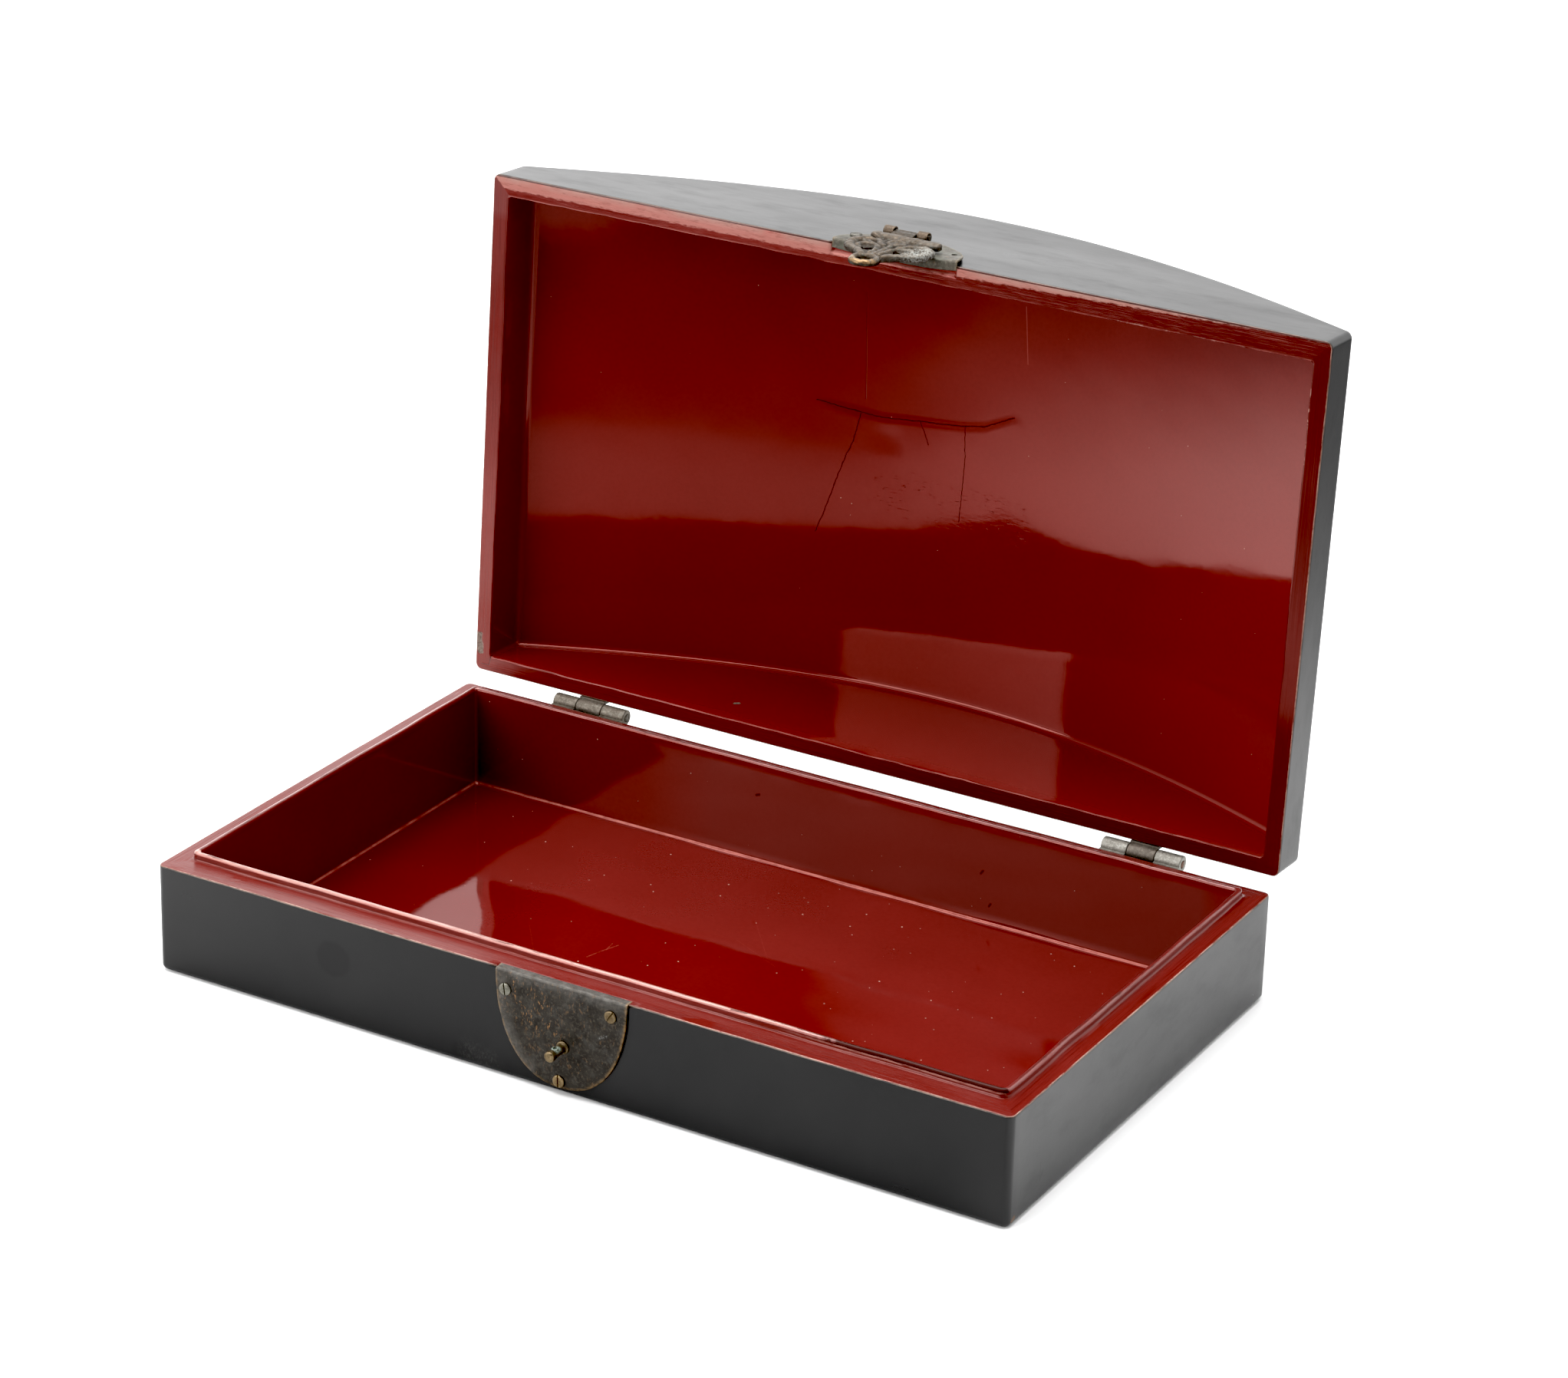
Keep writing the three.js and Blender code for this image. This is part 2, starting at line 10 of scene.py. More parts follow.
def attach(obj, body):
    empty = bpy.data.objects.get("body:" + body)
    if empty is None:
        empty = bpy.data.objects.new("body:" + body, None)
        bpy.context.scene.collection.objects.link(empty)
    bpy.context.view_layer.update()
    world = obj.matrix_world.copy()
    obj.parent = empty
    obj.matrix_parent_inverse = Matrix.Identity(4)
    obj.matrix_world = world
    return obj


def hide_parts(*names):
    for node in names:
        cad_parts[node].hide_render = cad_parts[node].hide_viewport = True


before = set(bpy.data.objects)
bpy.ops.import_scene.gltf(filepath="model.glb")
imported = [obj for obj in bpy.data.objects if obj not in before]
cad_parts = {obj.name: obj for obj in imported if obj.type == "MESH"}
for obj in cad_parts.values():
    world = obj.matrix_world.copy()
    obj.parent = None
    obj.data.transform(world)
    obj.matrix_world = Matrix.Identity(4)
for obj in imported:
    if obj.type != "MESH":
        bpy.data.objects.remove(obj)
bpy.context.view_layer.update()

MM = 0.001
L2, D2 = 190.0, 109.4
BASE_H = 45.7
LID_Z = 46.0
AY, AZ = 114.0, 45.65
OPEN = math.radians(93.8)
CO, SO = math.cos(OPEN), math.sin(OPEN)
BAR_Y, BAR_Z = -113.0, 64.4
DROOP = math.radians(1.2)
HINGES = {"left": -130.0, "right": 131.5}


# ---------------------------------------------------------------- places
def lid_to_rest(p):
    """Points drawn with the lid closed, turned to where the open lid is."""
    y, z = p[:, 1] - AY, p[:, 2] - AZ
    return np.stack([p[:, 0], AY + CO * y + SO * z, AZ - SO * y + CO * z], 1)


def hasp_to_rest(p):
    c, s = math.cos(DROOP), math.sin(DROOP)
    q = np.stack([p[:, 0], c * p[:, 1] - s * p[:, 2] + BAR_Y, s * p[:, 1] + c * p[:, 2] + BAR_Z], 1)
    return lid_to_rest(q)


TO_REST = {"base": lambda p: p, "lid": lid_to_rest, "hasp": hasp_to_rest}


def wobble(p, seed, low, high, count=14):
    """Smooth repeatable unevenness, about -1 to 1, with wavelengths from low to high. p is N x 2 or N x 3."""
    rng = np.random.default_rng(seed)
    p = np.asarray(p, float)
    out = np.zeros(len(p))
    total = 0.0
    for _ in range(count):
        lam = math.exp(rng.uniform(math.log(low), math.log(high)))
        d = rng.normal(size=p.shape[1])
        d /= np.linalg.norm(d)
        a = (lam / high) ** 0.5
        out += a * np.sin(2 * math.pi * (p @ d) / lam + rng.uniform(0, 2 * math.pi))
        total += a * a
    return out / math.sqrt(total)


# ---------------------------------------------------------------- meshes
def new_object(name, verts, faces, face_mats=None, smooth=True):
    me = bpy.data.meshes.new(name)
    me.from_pydata([tuple(v) for v in verts], [], [tuple(f) for f in faces])
    me.update()
    if face_mats is not None:
        me.polygons.foreach_set("material_index", np.asarray(face_mats, np.int32))
    me.polygons.foreach_set("use_smooth", np.full(len(me.polygons), smooth))
    o = bpy.data.objects.new(name, me)
    bpy.context.scene.collection.objects.link(o)
    return o


def outward(o):
    bm = bmesh.new()
    bm.from_mesh(o.data)
    bmesh.ops.recalc_face_normals(bm, faces=bm.faces)
    if bm.calc_volume(signed=True) < 0:
        bmesh.ops.reverse_faces(bm, faces=bm.faces)
    bm.to_mesh(o.data)
    bm.free()
    o.data.update()


def coords(o):
    a = np.zeros(len(o.data.vertices) * 3)
    o.data.vertices.foreach_get("co", a)
    return a.reshape(-1, 3)


def set_coords(o, p):
    o.data.vertices.foreach_set("co", np.asarray(p, np.float32).ravel())
    o.data.update()


def applied(o):
    """The object with its modifiers applied, under the same name."""
    bpy.context.view_layer.update()
    dg = bpy.context.evaluated_depsgraph_get()
    me = bpy.data.meshes.new_from_object(o.evaluated_get(dg), depsgraph=dg)
    o.modifiers.clear()
    old = o.data
    o.data = me
    if old.users == 0:
        bpy.data.meshes.remove(old)
    me.name = o.name
    return o


def float_attr(o, name, values):
    a = o.data.attributes.new(name, "FLOAT", "POINT")
    a.data.foreach_set("value", np.asarray(values, np.float32))


def place(o, group, body, mats, replaces=()):
    """Keeps each vertex's own place in mm as pmm, then sets the mesh where it is at rest, in metres."""
    p = coords(o)
    a = o.data.attributes.new("pmm", "FLOAT_VECTOR", "POINT")
    a.data.foreach_set("vector", p.astype(np.float32).ravel())
    set_coords(o, TO_REST[group](p) * MM)
    index = np.zeros(len(o.data.polygons), np.int32)
    o.data.polygons.foreach_get("material_index", index)
    o.data.materials.clear()
    for m in mats:
        o.data.materials.append(m)
    o.data.polygons.foreach_set("material_index", index)
    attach(o, body)
    if replaces:
        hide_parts(*replaces)
    return o


def boolean(o, cutter, op="DIFFERENCE"):
    m = o.modifiers.new("b", "BOOLEAN")
    m.operation = op
    m.solver = "EXACT"
    m.object = cutter
    applied(o)
    me = cutter.data
    bpy.data.objects.remove(cutter)
    bpy.data.meshes.remove(me)
    return o


def bevel(o, width, segments=2, angle=40):
    m = o.modifiers.new("bv", "BEVEL")
    m.width = width
    m.segments = segments
    m.limit_method = "ANGLE"
    m.angle_limit = math.radians(angle)
    m.harden_normals = False
    return applied(o)


def smooth_by_angle(o, degrees=35):
    me = o.data
    me.polygons.foreach_set("use_smooth", np.full(len(me.polygons), True))
    bm = bmesh.new()
    bm.from_mesh(me)
    lim = math.radians(degrees)
    for e in bm.edges:
        if len(e.link_faces) == 2 and e.calc_face_angle(0) > lim:
            e.smooth = False
    bm.to_mesh(me)
    bm.free()


def join(name, objs):
    verts, faces, mats, n = [], [], [], 0
    for o in objs:
        verts += [tuple(v.co) for v in o.data.vertices]
        for f in o.data.polygons:
            faces.append(tuple(i + n for i in f.vertices))
            mats.append(f.material_index)
        n += len(o.data.vertices)
        me = o.data
        bpy.data.objects.remove(o)
        bpy.data.meshes.remove(me)
    return new_object(name, verts, faces, mats)


# ring stacks: rounded rectangles of equal vertex count, joined by quads and closed by grids
HALF_ARC = 4


def ring(x0, x1, y0, y1, r, xs, ys):
    """x0 < x1, y0 < y1. xs and ys are stations from -1 to 1. Counter-clockwise from the corner (x0, y0); returns the
    points.
    """
    def arc(cx, cy, a0, a1):
        t = np.radians(np.linspace(a0, a1, HALF_ARC + 1))
        return [(cx + r * math.cos(a), cy + r * math.sin(a)) for a in t]

    def stations(a0, a1, st, keep):
        out = []
        c, h = (a0 + a1) / 2, (a1 - a0) / 2
        for s in st[1:-1]:
            if keep and abs(s) * KEEP_S <= KEEP_R:
                out.append(s * KEEP_S)
            elif keep:
                sg = 1 if s > 0 else -1
                out.append(sg * (KEEP_R + (abs(s) * KEEP_S - KEEP_R) * (abs(sg * h + c) - KEEP_R) / (KEEP_S - KEEP_R)))
            else:
                out.append(c + h * s)
        return out

    fx = stations(x0 + r, x1 - r, xs, True)
    fy = stations(y0 + r, y1 - r, ys, False)
    pts = []
    pts += arc(x0 + r, y0 + r, 225, 270)
    pts += [(x, y0) for x in fx]
    pts += arc(x1 - r, y0 + r, 270, 315)[:-1]
    pts += arc(x1 - r, y0 + r, 315, 360)
    pts += [(x1, y) for y in fy]
    pts += arc(x1 - r, y1 - r, 0, 45)[:-1]
    pts += arc(x1 - r, y1 - r, 45, 90)
    pts += [(x, y1) for x in reversed(fx)]
    pts += arc(x0 + r, y1 - r, 90, 135)[:-1]
    pts += arc(x0 + r, y1 - r, 135, 180)
    pts += [(x0, y) for y in reversed(fy)]
    pts += arc(x0 + r, y0 + r, 180, 225)[:-1]
    return np.array(pts)


KEEP_S, KEEP_R = 186.0, 60.0     # stations along X stay put within 60 mm of the middle


def grid_fill(b, nx, ny):
    """Inside points of a grid whose boundary is the ring b (nx + ny + nx + ny segments). Returns (ny+1, nx+1, 2)."""
    n = len(b)
    bottom = b[: nx + 1]
    right = b[nx: nx + ny + 1]
    top = b[nx + ny: 2 * nx + ny + 1][::-1]
    left = np.vstack([b[2 * nx + ny:], b[:1]])[::-1]
    assert n == 2 * (nx + ny)

    def param(side, axis):
        t = side[:, axis] - side[0, axis]
        return t / t[-1]
    u0, u1 = param(bottom, 0), param(top, 0)
    v0, v1 = param(left, 1), param(right, 1)
    g = np.zeros((ny + 1, nx + 1, 2))
    for j in range(ny + 1):
        for i in range(nx + 1):
            v = (v0[j] + v1[j]) / 2
            u = (u0[i] + u1[i]) / 2
            g[j, i] = ((1 - v) * bottom[i] + v * top[i] + (1 - u) * left[j] + u * right[j]
                       - ((1 - u) * (1 - v) * bottom[0] + u * (1 - v) * bottom[-1] + (1 - u) * v * top[0] + u * v * top[-1]))
    return g


class Stack:
    """Collects rings from one cap to the other."""

    def __init__(self, xs, ys):
        self.xs, self.ys = xs, ys
        self.nx = len(xs) - 1 + 2 * HALF_ARC
        self.ny = len(ys) - 1 + 2 * HALF_ARC
        self.verts, self.faces, self.mats, self.rows = [], [], [], []
        self.tag = []

    def ring(self, insets, r, z, mat=0, tag=0.0):
        """insets are (front, back, end); z is a number or a function of x and y."""
        f, b, e = insets
        p = ring(-L2 + e, L2 - e, -D2 + f, D2 - b, r, self.xs, self.ys)
        zz = z(p[:, 0], p[:, 1]) if callable(z) else np.full(len(p), float(z))
        base = len(self.verts)
        self.verts += [(p[i, 0], p[i, 1], zz[i]) for i in range(len(p))]
        self.tag += [tag] * len(p)
        if self.rows:
            a, n = self.rows[-1], len(p)
            for i in range(n):
                self.faces.append((a + i, a + (i + 1) % n, base + (i + 1) % n, base + i))
                self.mats.append(mat)
        self.rows.append(base)
        return p

    def cap(self, z, mat=0, warp=None, tag=0.0):
        """Closes the last ring, or the first one if it is the only one, with a grid."""
        n = 2 * (self.nx + self.ny)
        base = self.rows[-1]
        b = np.array(self.verts[base: base + n])[:, :2]
        g = grid_fill(b, self.nx, self.ny)
        if warp is not None:
            g = warp(g)
        idx = -np.ones((self.ny + 1, self.nx + 1), int)
        for i in range(self.nx + 1):
            idx[0, i] = base + i
            idx[self.ny, i] = base + 2 * self.nx + self.ny - i
        for j in range(self.ny + 1):
            idx[j, self.nx] = base + self.nx + j
            idx[j, 0] = base + (n - j) % n
        for j in range(1, self.ny):
            for i in range(1, self.nx):
                idx[j, i] = len(self.verts)
                x, y = g[j, i]
                zz = float(z(np.array([x]), np.array([y]))[0]) if callable(z) else z
                self.verts.append((x, y, zz))
                self.tag.append(tag)
        for j in range(self.ny):
            for i in range(self.nx):
                self.faces.append((idx[j, i], idx[j, i + 1], idx[j + 1, i + 1], idx[j + 1, i]))
                self.mats.append(mat)
        return g


# ---------------------------------------------------------------- node helpers
class Mat:
    def __init__(self, name):
        self.m = bpy.data.materials.new(name)
        self.m.use_nodes = True
        self.nt = self.m.node_tree
        self.nt.nodes.clear()
        self.out = self.nt.nodes.new("ShaderNodeOutputMaterial")
        self.b = self.nt.nodes.new("ShaderNodeBsdfPrincipled")
        self.nt.links.new(self.b.outputs[0], self.out.inputs[0])
        a = self.nt.nodes.new("ShaderNodeAttribute")
        a.attribute_name = "pmm"
        self.p = a.outputs["Vector"]

    def node(self, kind, **props):
        n = self.nt.nodes.new(kind)
        for k, v in props.items():
            setattr(n, k, v)
        return n

    def put(self, socket, value):
        if isinstance(value, bpy.types.NodeSocket):
            self.nt.links.new(value, socket)
        elif isinstance(value, (tuple, list)) and len(value) == 3 and len(socket.default_value) == 4:
            socket.default_value = (*value, 1.0)
        else:
            socket.default_value = value

    def set(self, name, value):
        self.put(self.b.inputs[name], value)

    def math(self, op, a, b=0.0, c=0.0, clamp=False):
        n = self.node("ShaderNodeMath", operation=op, use_clamp=clamp)
        self.put(n.inputs[0], a)
        self.put(n.inputs[1], b)
        self.put(n.inputs[2], c)
        return n.outputs[0]

    def add(self, a, b): return self.math("ADD", a, b)
    def sub(self, a, b): return self.math("SUBTRACT", a, b)
    def mul(self, a, b): return self.math("MULTIPLY", a, b)
    def maxi(self, a, b): return self.math("MAXIMUM", a, b)
    def mini(self, a, b): return self.math("MINIMUM", a, b)

    def vec(self, op, a, b=(0.0, 0.0, 0.0), scale=None):
        n = self.node("ShaderNodeVectorMath", operation=op)
        self.put(n.inputs[0], a)
        if scale is not None:
            self.put(n.inputs["Scale"], scale)
        else:
            self.put(n.inputs[1], b)
        return n.outputs["Value"] if op in ("DISTANCE", "LENGTH", "DOT_PRODUCT") else n.outputs["Vector"]

    def noise(self, size, detail=3.0, rough=0.55, stretch=(1, 1, 1), seed=0.0, distort=0.0, colour=False, p=None):
        """Noise whose features are about size mm, pulled out along an axis by stretch."""
        q = self.vec("MULTIPLY", p if p is not None else self.p, (1 / (size * stretch[0]), 1 / (size * stretch[1]), 1 / (size * stretch[2])))
        q = self.vec("ADD", q, (seed * 7.31, seed * 3.17, seed * 5.77))
        n = self.node("ShaderNodeTexNoise")
        self.put(n.inputs["Vector"], q)
        n.inputs["Scale"].default_value = 1.0
        n.inputs["Detail"].default_value = detail
        n.inputs["Roughness"].default_value = rough
        n.inputs["Distortion"].default_value = distort
        return n.outputs["Color"] if colour else n.outputs[0]

    def dots(self, size, radius, seed=0.0, keep=0.5, p=None):
        """Small round specks on a lattice of cells of the given size; keep is the share of cells with none."""
        q = self.vec("MULTIPLY", p if p is not None else self.p, (1 / size, 1 / size, 1 / size))
        q = self.vec("ADD", q, (seed * 3.3, seed * 9.1, seed * 1.7))
        n = self.node("ShaderNodeTexVoronoi", feature="F1")
        self.put(n.inputs["Vector"], q)
        n.inputs["Scale"].default_value = 1.0
        rnd = self.node("ShaderNodeSeparateColor")
        self.nt.links.new(n.outputs["Color"], rnd.inputs[0])
        r = self.mul(self.ramp(rnd.outputs[0], keep, 1.0), radius / size)
        return self.ramp(self.sub(r, n.outputs["Distance"]), 0.0, 0.25 * radius / size)

    def ramp(self, x, lo, hi, a=0.0, b=1.0, smooth=False):
        n = self.node("ShaderNodeMapRange", clamp=True, interpolation_type="SMOOTHSTEP" if smooth else "LINEAR")
        self.put(n.inputs[0], x)
        for i, v in enumerate((lo, hi, a, b)):
            n.inputs[i + 1].default_value = v
        return n.outputs[0]

    def mix(self, f, a, b):
        n = self.node("ShaderNodeMix", data_type="RGBA", clamp_factor=True)
        self.put(n.inputs[0], f)
        self.put(n.inputs[6], a)
        self.put(n.inputs[7], b)
        return n.outputs[2]

    def segments(self, pts, axes=(0, 1), p=None):
        """Distance in mm to a polyline drawn in two of the three axes."""
        src = p if p is not None else self.p
        keep = tuple(1.0 if i in axes else 0.0 for i in range(3))
        q = self.vec("MULTIPLY", src, keep)
        best = None
        for a, b in zip(pts[:-1], pts[1:]):
            A, B = [0.0] * 3, [0.0] * 3
            A[axes[0]], A[axes[1]] = a
            B[axes[0]], B[axes[1]] = b
            ab = [B[i] - A[i] for i in range(3)]
            l2 = sum(t * t for t in ab)
            t = self.vec("DOT_PRODUCT", self.vec("SUBTRACT", q, tuple(A)), tuple(v / l2 for v in ab))
            t = self.math("MULTIPLY", t, 1.0, clamp=True)
            c = self.node("ShaderNodeCombineXYZ")
            for i in range(3):
                self.put(c.inputs[i], self.math("MULTIPLY_ADD", t, ab[i], A[i]))
            d = self.vec("DISTANCE", q, c.outputs[0])
            best = d if best is None else self.mini(best, d)
        return best

    def attr(self, name):
        a = self.node("ShaderNodeAttribute")
        a.attribute_name = name
        return a.outputs["Fac"]

    def bump(self, height, distance, normal=None, strength=1.0):
        n = self.node("ShaderNodeBump")
        n.inputs["Strength"].default_value = strength
        n.inputs["Distance"].default_value = distance
        self.put(n.inputs["Height"], height)
        if normal is not None:
            self.put(n.inputs["Normal"], normal)
        return n.outputs[0]


# ---------------------------------------------------------------- materials
LONG_CRACK = [(-67.5, -20.7), (-59.2, -19.3), (-49.1, -18.1), (-38.9, -17.1), (-25.2, -18.1), (-11.1, -19.1), (-1.1, -20.1), (8.5, -22.0), (15.6, -25.5), (21.7, -28.5)]
LEFT_CRACK = [(-48.2, -17.6), (-50.9, -4.7), (-54.4, 4.3), (-57.7, 15.1), (-61.2, 27.6), (-64.6, 37.4)]
RIGHT_CRACK = [(-1.1, -20.1), (0.0, -5.6), (-0.3, 8.0), (-0.7, 21.6)]
SMALL_CRACK = [(-21.7, -18.1), (-19.2, -13.5), (-17.4, -8.8)]


def line(m, pts, width, axes=(0, 1), soft=0.5):
    return m.ramp(m.segments(pts, axes), width * (1 - soft), width * (1 + soft), 1.0, 0.0)


def red_lacquer(name, kind):
    """Glossy deep red lacquer over wood, old and a little worn, with painted highlights, sheen and shade on its rims,
    walls and floor. kind is tray or lid.
    """
    m = Mat(name)
    sep = m.node("ShaderNodeSeparateXYZ")
    m.nt.links.new(m.p, sep.inputs[0])
    px, py, pz = sep.outputs
    big = m.noise(60, 2, 0.5, seed=1)
    fine = m.noise(1.6, 2, 0.5, seed=2)
    if kind == "lid":
        col = m.mix(m.ramp(big, 0.3, 0.7), (0.108, 0.0148, 0.0120), (0.130, 0.0178, 0.0146))
        col = m.mix(m.ramp(py, -60.0, 0.0, 0.0, 0.55), col, (0.150, 0.0163, 0.0133))
        # painted shade: the rims are darkened more and more towards the right
        painted_rim_shade = m.mul(m.attr("rim"), m.ramp(px, -60.0, 40.0, 0.15, 0.55))
        col = m.mix(painted_rim_shade, col, (0.020, 0.0022, 0.0018))
    else:
        wallcol = m.mix(m.ramp(big, 0.3, 0.7), (0.106, 0.0150, 0.0122), (0.124, 0.0176, 0.0144))
        floorcol = m.mix(m.ramp(big, 0.3, 0.7), (0.105, 0.0122, 0.0104), (0.122, 0.0143, 0.0122))
        # painted shade: the floor is darkened towards the left wall, where it lies in that wall's shade
        floorcol = m.mix(m.ramp(px, -172.0, -70.0, 0.32, 0.0), floorcol, (0.03, 0.0, 0.0))
        col = m.mix(m.attr("floor"), wallcol, floorcol)
    col = m.mix(m.mul(m.ramp(fine, 0.35, 0.75), 0.22), col, m.mix(0.3, col, (0.0, 0.0, 0.0)))
    specks = m.dots(5.0, 0.27, seed=3, keep=0.72) if kind == "lid" else m.dots(4.2, 0.36, seed=3, keep=0.64)
    flat = m.attr("panel")
    specks = m.mul(m.mul(specks, flat), 0.6 if kind == "lid" else 0.85)
    col = m.mix(specks, col, (0.56, 0.40, 0.33))
    # brush marks along the rims
    ends = m.attr("ends")
    run_x = m.noise(1.0, 3, 0.6, stretch=(46, 0.55, 0.8), seed=14)
    run_y = m.noise(1.0, 3, 0.6, stretch=(0.55, 46, 0.8), seed=15)
    rim = m.attr("rim")
    run = m.add(m.mul(run_x, m.sub(1.0, ends)), m.mul(run_y, ends))
    col = m.mix(m.mul(m.mul(m.ramp(run, 0.5, 0.66), rim), 0.55), col, (0.062, 0.0022, 0.0018))
    # worn edges: pale where the ground shows, brown where dirt sits
    wear = m.attr("wear")
    patch = m.ramp(m.noise(9, 4, 0.6, seed=11), 0.40, 0.60)
    edge = m.mul(m.ramp(m.add(wear, m.mul(m.noise(1.4, 3, 0.6, seed=16), 0.5)), 0.86, 1.2), patch)
    col = m.mix(m.mul(edge, 0.7), col, (0.26, 0.155, 0.115))
    dirt = m.mul(m.ramp(wear, 0.35, 0.8), m.ramp(m.noise(13, 4, 0.6, seed=17), 0.47, 0.62))
    col = m.mix(m.mul(dirt, 0.55), col, (0.035, 0.007, 0.004))
    height = m.add(m.mul(m.noise(7.0, 2, 0.5, seed=21), 0.9), m.mul(m.noise(2.0, 2, 0.5, seed=22), 0.10))
    rough = m.ramp(m.noise(25, 3, 0.6, seed=12), 0.3, 0.75, 0.045, 0.085)
    lines = None
    if kind == "lid":
        crown = m.attr("crown")
        shift = m.vec("ADD", m.p, m.vec("SCALE", m.vec("SUBTRACT", m.noise(2.2, 3, 0.6, seed=23, colour=True), (0.5, 0.5, 0.5)), scale=0.9))
        keep, m.p = m.p, shift
        lines = m.maxi(line(m, LONG_CRACK, 0.20), line(m, LEFT_CRACK, 0.15))
        lines = m.maxi(lines, line(m, RIGHT_CRACK, 0.12))
        lines = m.maxi(lines, line(m, SMALL_CRACK, 0.12))
        m.p = keep
        joint = m.mul(line(m, [(-49.0, -70.0), (-46.5, -24.0)], 0.16, soft=0.9), 0.35)
        lines = m.mul(m.maxi(lines, joint), crown)
        pale = m.mul(m.mul(line(m, [(23.4, -76.5), (26.3, -52.6)], 0.16, soft=0.9), crown), 0.35)
        col = m.mix(m.mul(lines, 0.9), col, (0.012, 0.003, 0.002))
        col = m.mix(pale, col, (0.4, 0.1, 0.08))
        # comb marks where the lacquer was brushed across the panel
        comb = m.mul(m.noise(1.0, 2, 0.5, stretch=(0.9, 40, 40), seed=24), m.ramp(m.noise(42, 2, 0.5, seed=25), 0.46, 0.62))
        height = m.add(height, m.mul(m.mul(comb, crown), 0.60))
        # fine wrinkles below the middle of the crack
        zone = m.mul(m.ramp(m.segments([(-34.0, 14.0), (26.0, 18.0)], (0, 1)), 4.0, 12.0, 1.0, 0.0), crown)
        wr = m.ramp(m.noise(1.0, 2, 0.5, stretch=(3.4, 0.62, 3.4), seed=26), 0.63, 0.69)
        wr = m.mul(m.mul(wr, zone), m.ramp(m.noise(7.0, 2, 0.5, seed=53), 0.46, 0.56))
        height = m.add(height, m.mul(m.mul(m.noise(1.0, 3, 0.6, stretch=(5.0, 1.4, 4.0), seed=54), zone), 0.9))
        col = m.mix(m.mul(wr, 0.5), col, (0.03, 0.003, 0.002))
        # matt scabs on the rim and the chips in the back wall
        chips = m.maxi(line(m, [(-69.9, 63.4), (-69.2, 64.4)], 1.1, (0, 2), 0.3), 0.0)
        chips = m.mul(chips, m.ramp(py, 100.5, 101.5, 0.0, 1.0))
        grey = m.ramp(m.add(m.segments([(-188.6, 93.5), (-187.6, 100.5)], (0, 1)), m.mul(m.noise(3.0, 3, 0.6, seed=27), 3.4)), 2.9, 3.6, 1.0, 0.0)
        grey = m.mul(grey, m.ramp(pz, 52.0, 50.0, 0.0, 1.0))
        rimchip = m.mul(line(m, [(34.6, 100.4), (36.8, 101.0)], 0.55, soft=0.4), m.ramp(pz, 48.0, 47.0, 0.0, 1.0))
        lap = m.mul(line(m, [(-182.1, 102.0), (-183.1, 106.4), (-187.0, 106.6)], 0.10), m.ramp(pz, 48.0, 47.0, 0.0, 1.0))
        mixed = m.mix(m.ramp(m.noise(1.0, 4, 0.7, seed=28), 0.4, 0.6), (0.05, 0.042, 0.032), (0.15, 0.135, 0.11))
        bare = m.maxi(m.maxi(chips, grey), rimchip)
        col = m.mix(bare, col, mixed)
        col = m.mix(m.mul(lap, 0.9), col, (0.012, 0.004, 0.003))
        rough = m.add(rough, m.mul(bare, 0.55))
        lines = m.maxi(m.maxi(m.maxi(lines, lap), m.mul(bare, 0.7)), m.mul(wr, 0.35))
    else:
        floor_ = m.attr("floor")
        yscr = m.maxi(line(m, [(-49.2, -15.4), (-47.2, -8.3), (-44.2, 0.2)], 0.22, soft=0.9), line(m, [(-46.1, -6.0), (-47.2, 1.5)], 0.18, soft=0.9))
        oscr = m.maxi(line(m, [(-7.0, 30.3), (18.1, 18.1)], 0.14, soft=0.9), line(m, [(-9.5, 49.5), (12.1, 22.3)], 0.12, soft=0.9))
        oscr = m.maxi(oscr, line(m, [(-84.3, -3.7), (-59.2, -36.4)], 0.14, soft=0.9))
        scr = m.mul(m.add(m.mul(yscr, 0.5), m.mul(oscr, 0.12)), floor_)
        scr = m.mul(scr, m.ramp(m.noise(1.3, 3, 0.6, seed=29), 0.36, 0.55))
        col = m.mix(m.mul(scr, 0.6), col, (0.45, 0.11, 0.085))
        # painted highlight: a pale line along the fillet where the walls meet the floor
        painted_fillet_highlight = m.mul(m.mul(m.ramp(pz, 4.62, 4.85), m.ramp(pz, 5.7, 5.3)), m.sub(1.0, floor_))
        painted_fillet_highlight = m.mul(painted_fillet_highlight, m.ramp(m.noise(6, 4, 0.6, seed=60), 0.36, 0.56, 0.2, 0.6))
        col = m.mix(painted_fillet_highlight, col, (0.40, 0.135, 0.11))
        grit = m.mul(m.mul(m.dots(3.6, 0.42, seed=30, keep=0.80), floor_), m.ramp(m.noise(45, 2, 0.5, seed=31), 0.40, 0.62))
        # painted reflection: a paler pink sheen over most of the inner back wall, fading out at its left end
        painted_back_wall_sheen = m.mul(m.mul(m.ramp(py, 97.0, 98.0), m.ramp(pz, 6.0, 7.5)), m.mul(m.ramp(px, -95.0, -60.0), m.ramp(px, 172.0, 164.0)))
        col = m.mix(m.mul(m.mul(painted_back_wall_sheen, m.ramp(pz, 45.5, 44.5)), 0.6), col, (0.100, 0.030, 0.0265))
        # painted highlight: pale pink along the crest of the front lip, fading out towards the right end
        painted_bead_highlight = m.mul(m.mul(m.ramp(pz, 48.1, 48.6), m.ramp(py, -94.0, -94.6)), m.ramp(m.add(px, m.mul(m.noise(18, 3, 0.6, seed=67), 30.0)), 95.0, 130.0, 0.95, 0.0))
        col = m.mix(m.mul(painted_bead_highlight, m.ramp(m.noise(1.0, 3, 0.6, stretch=(9, 0.8, 1), seed=68), 0.3, 0.5, 0.6, 1.0)), col, (0.36, 0.20, 0.17))
        col = m.mix(m.mul(grit, 0.75), col, (0.6, 0.42, 0.34))
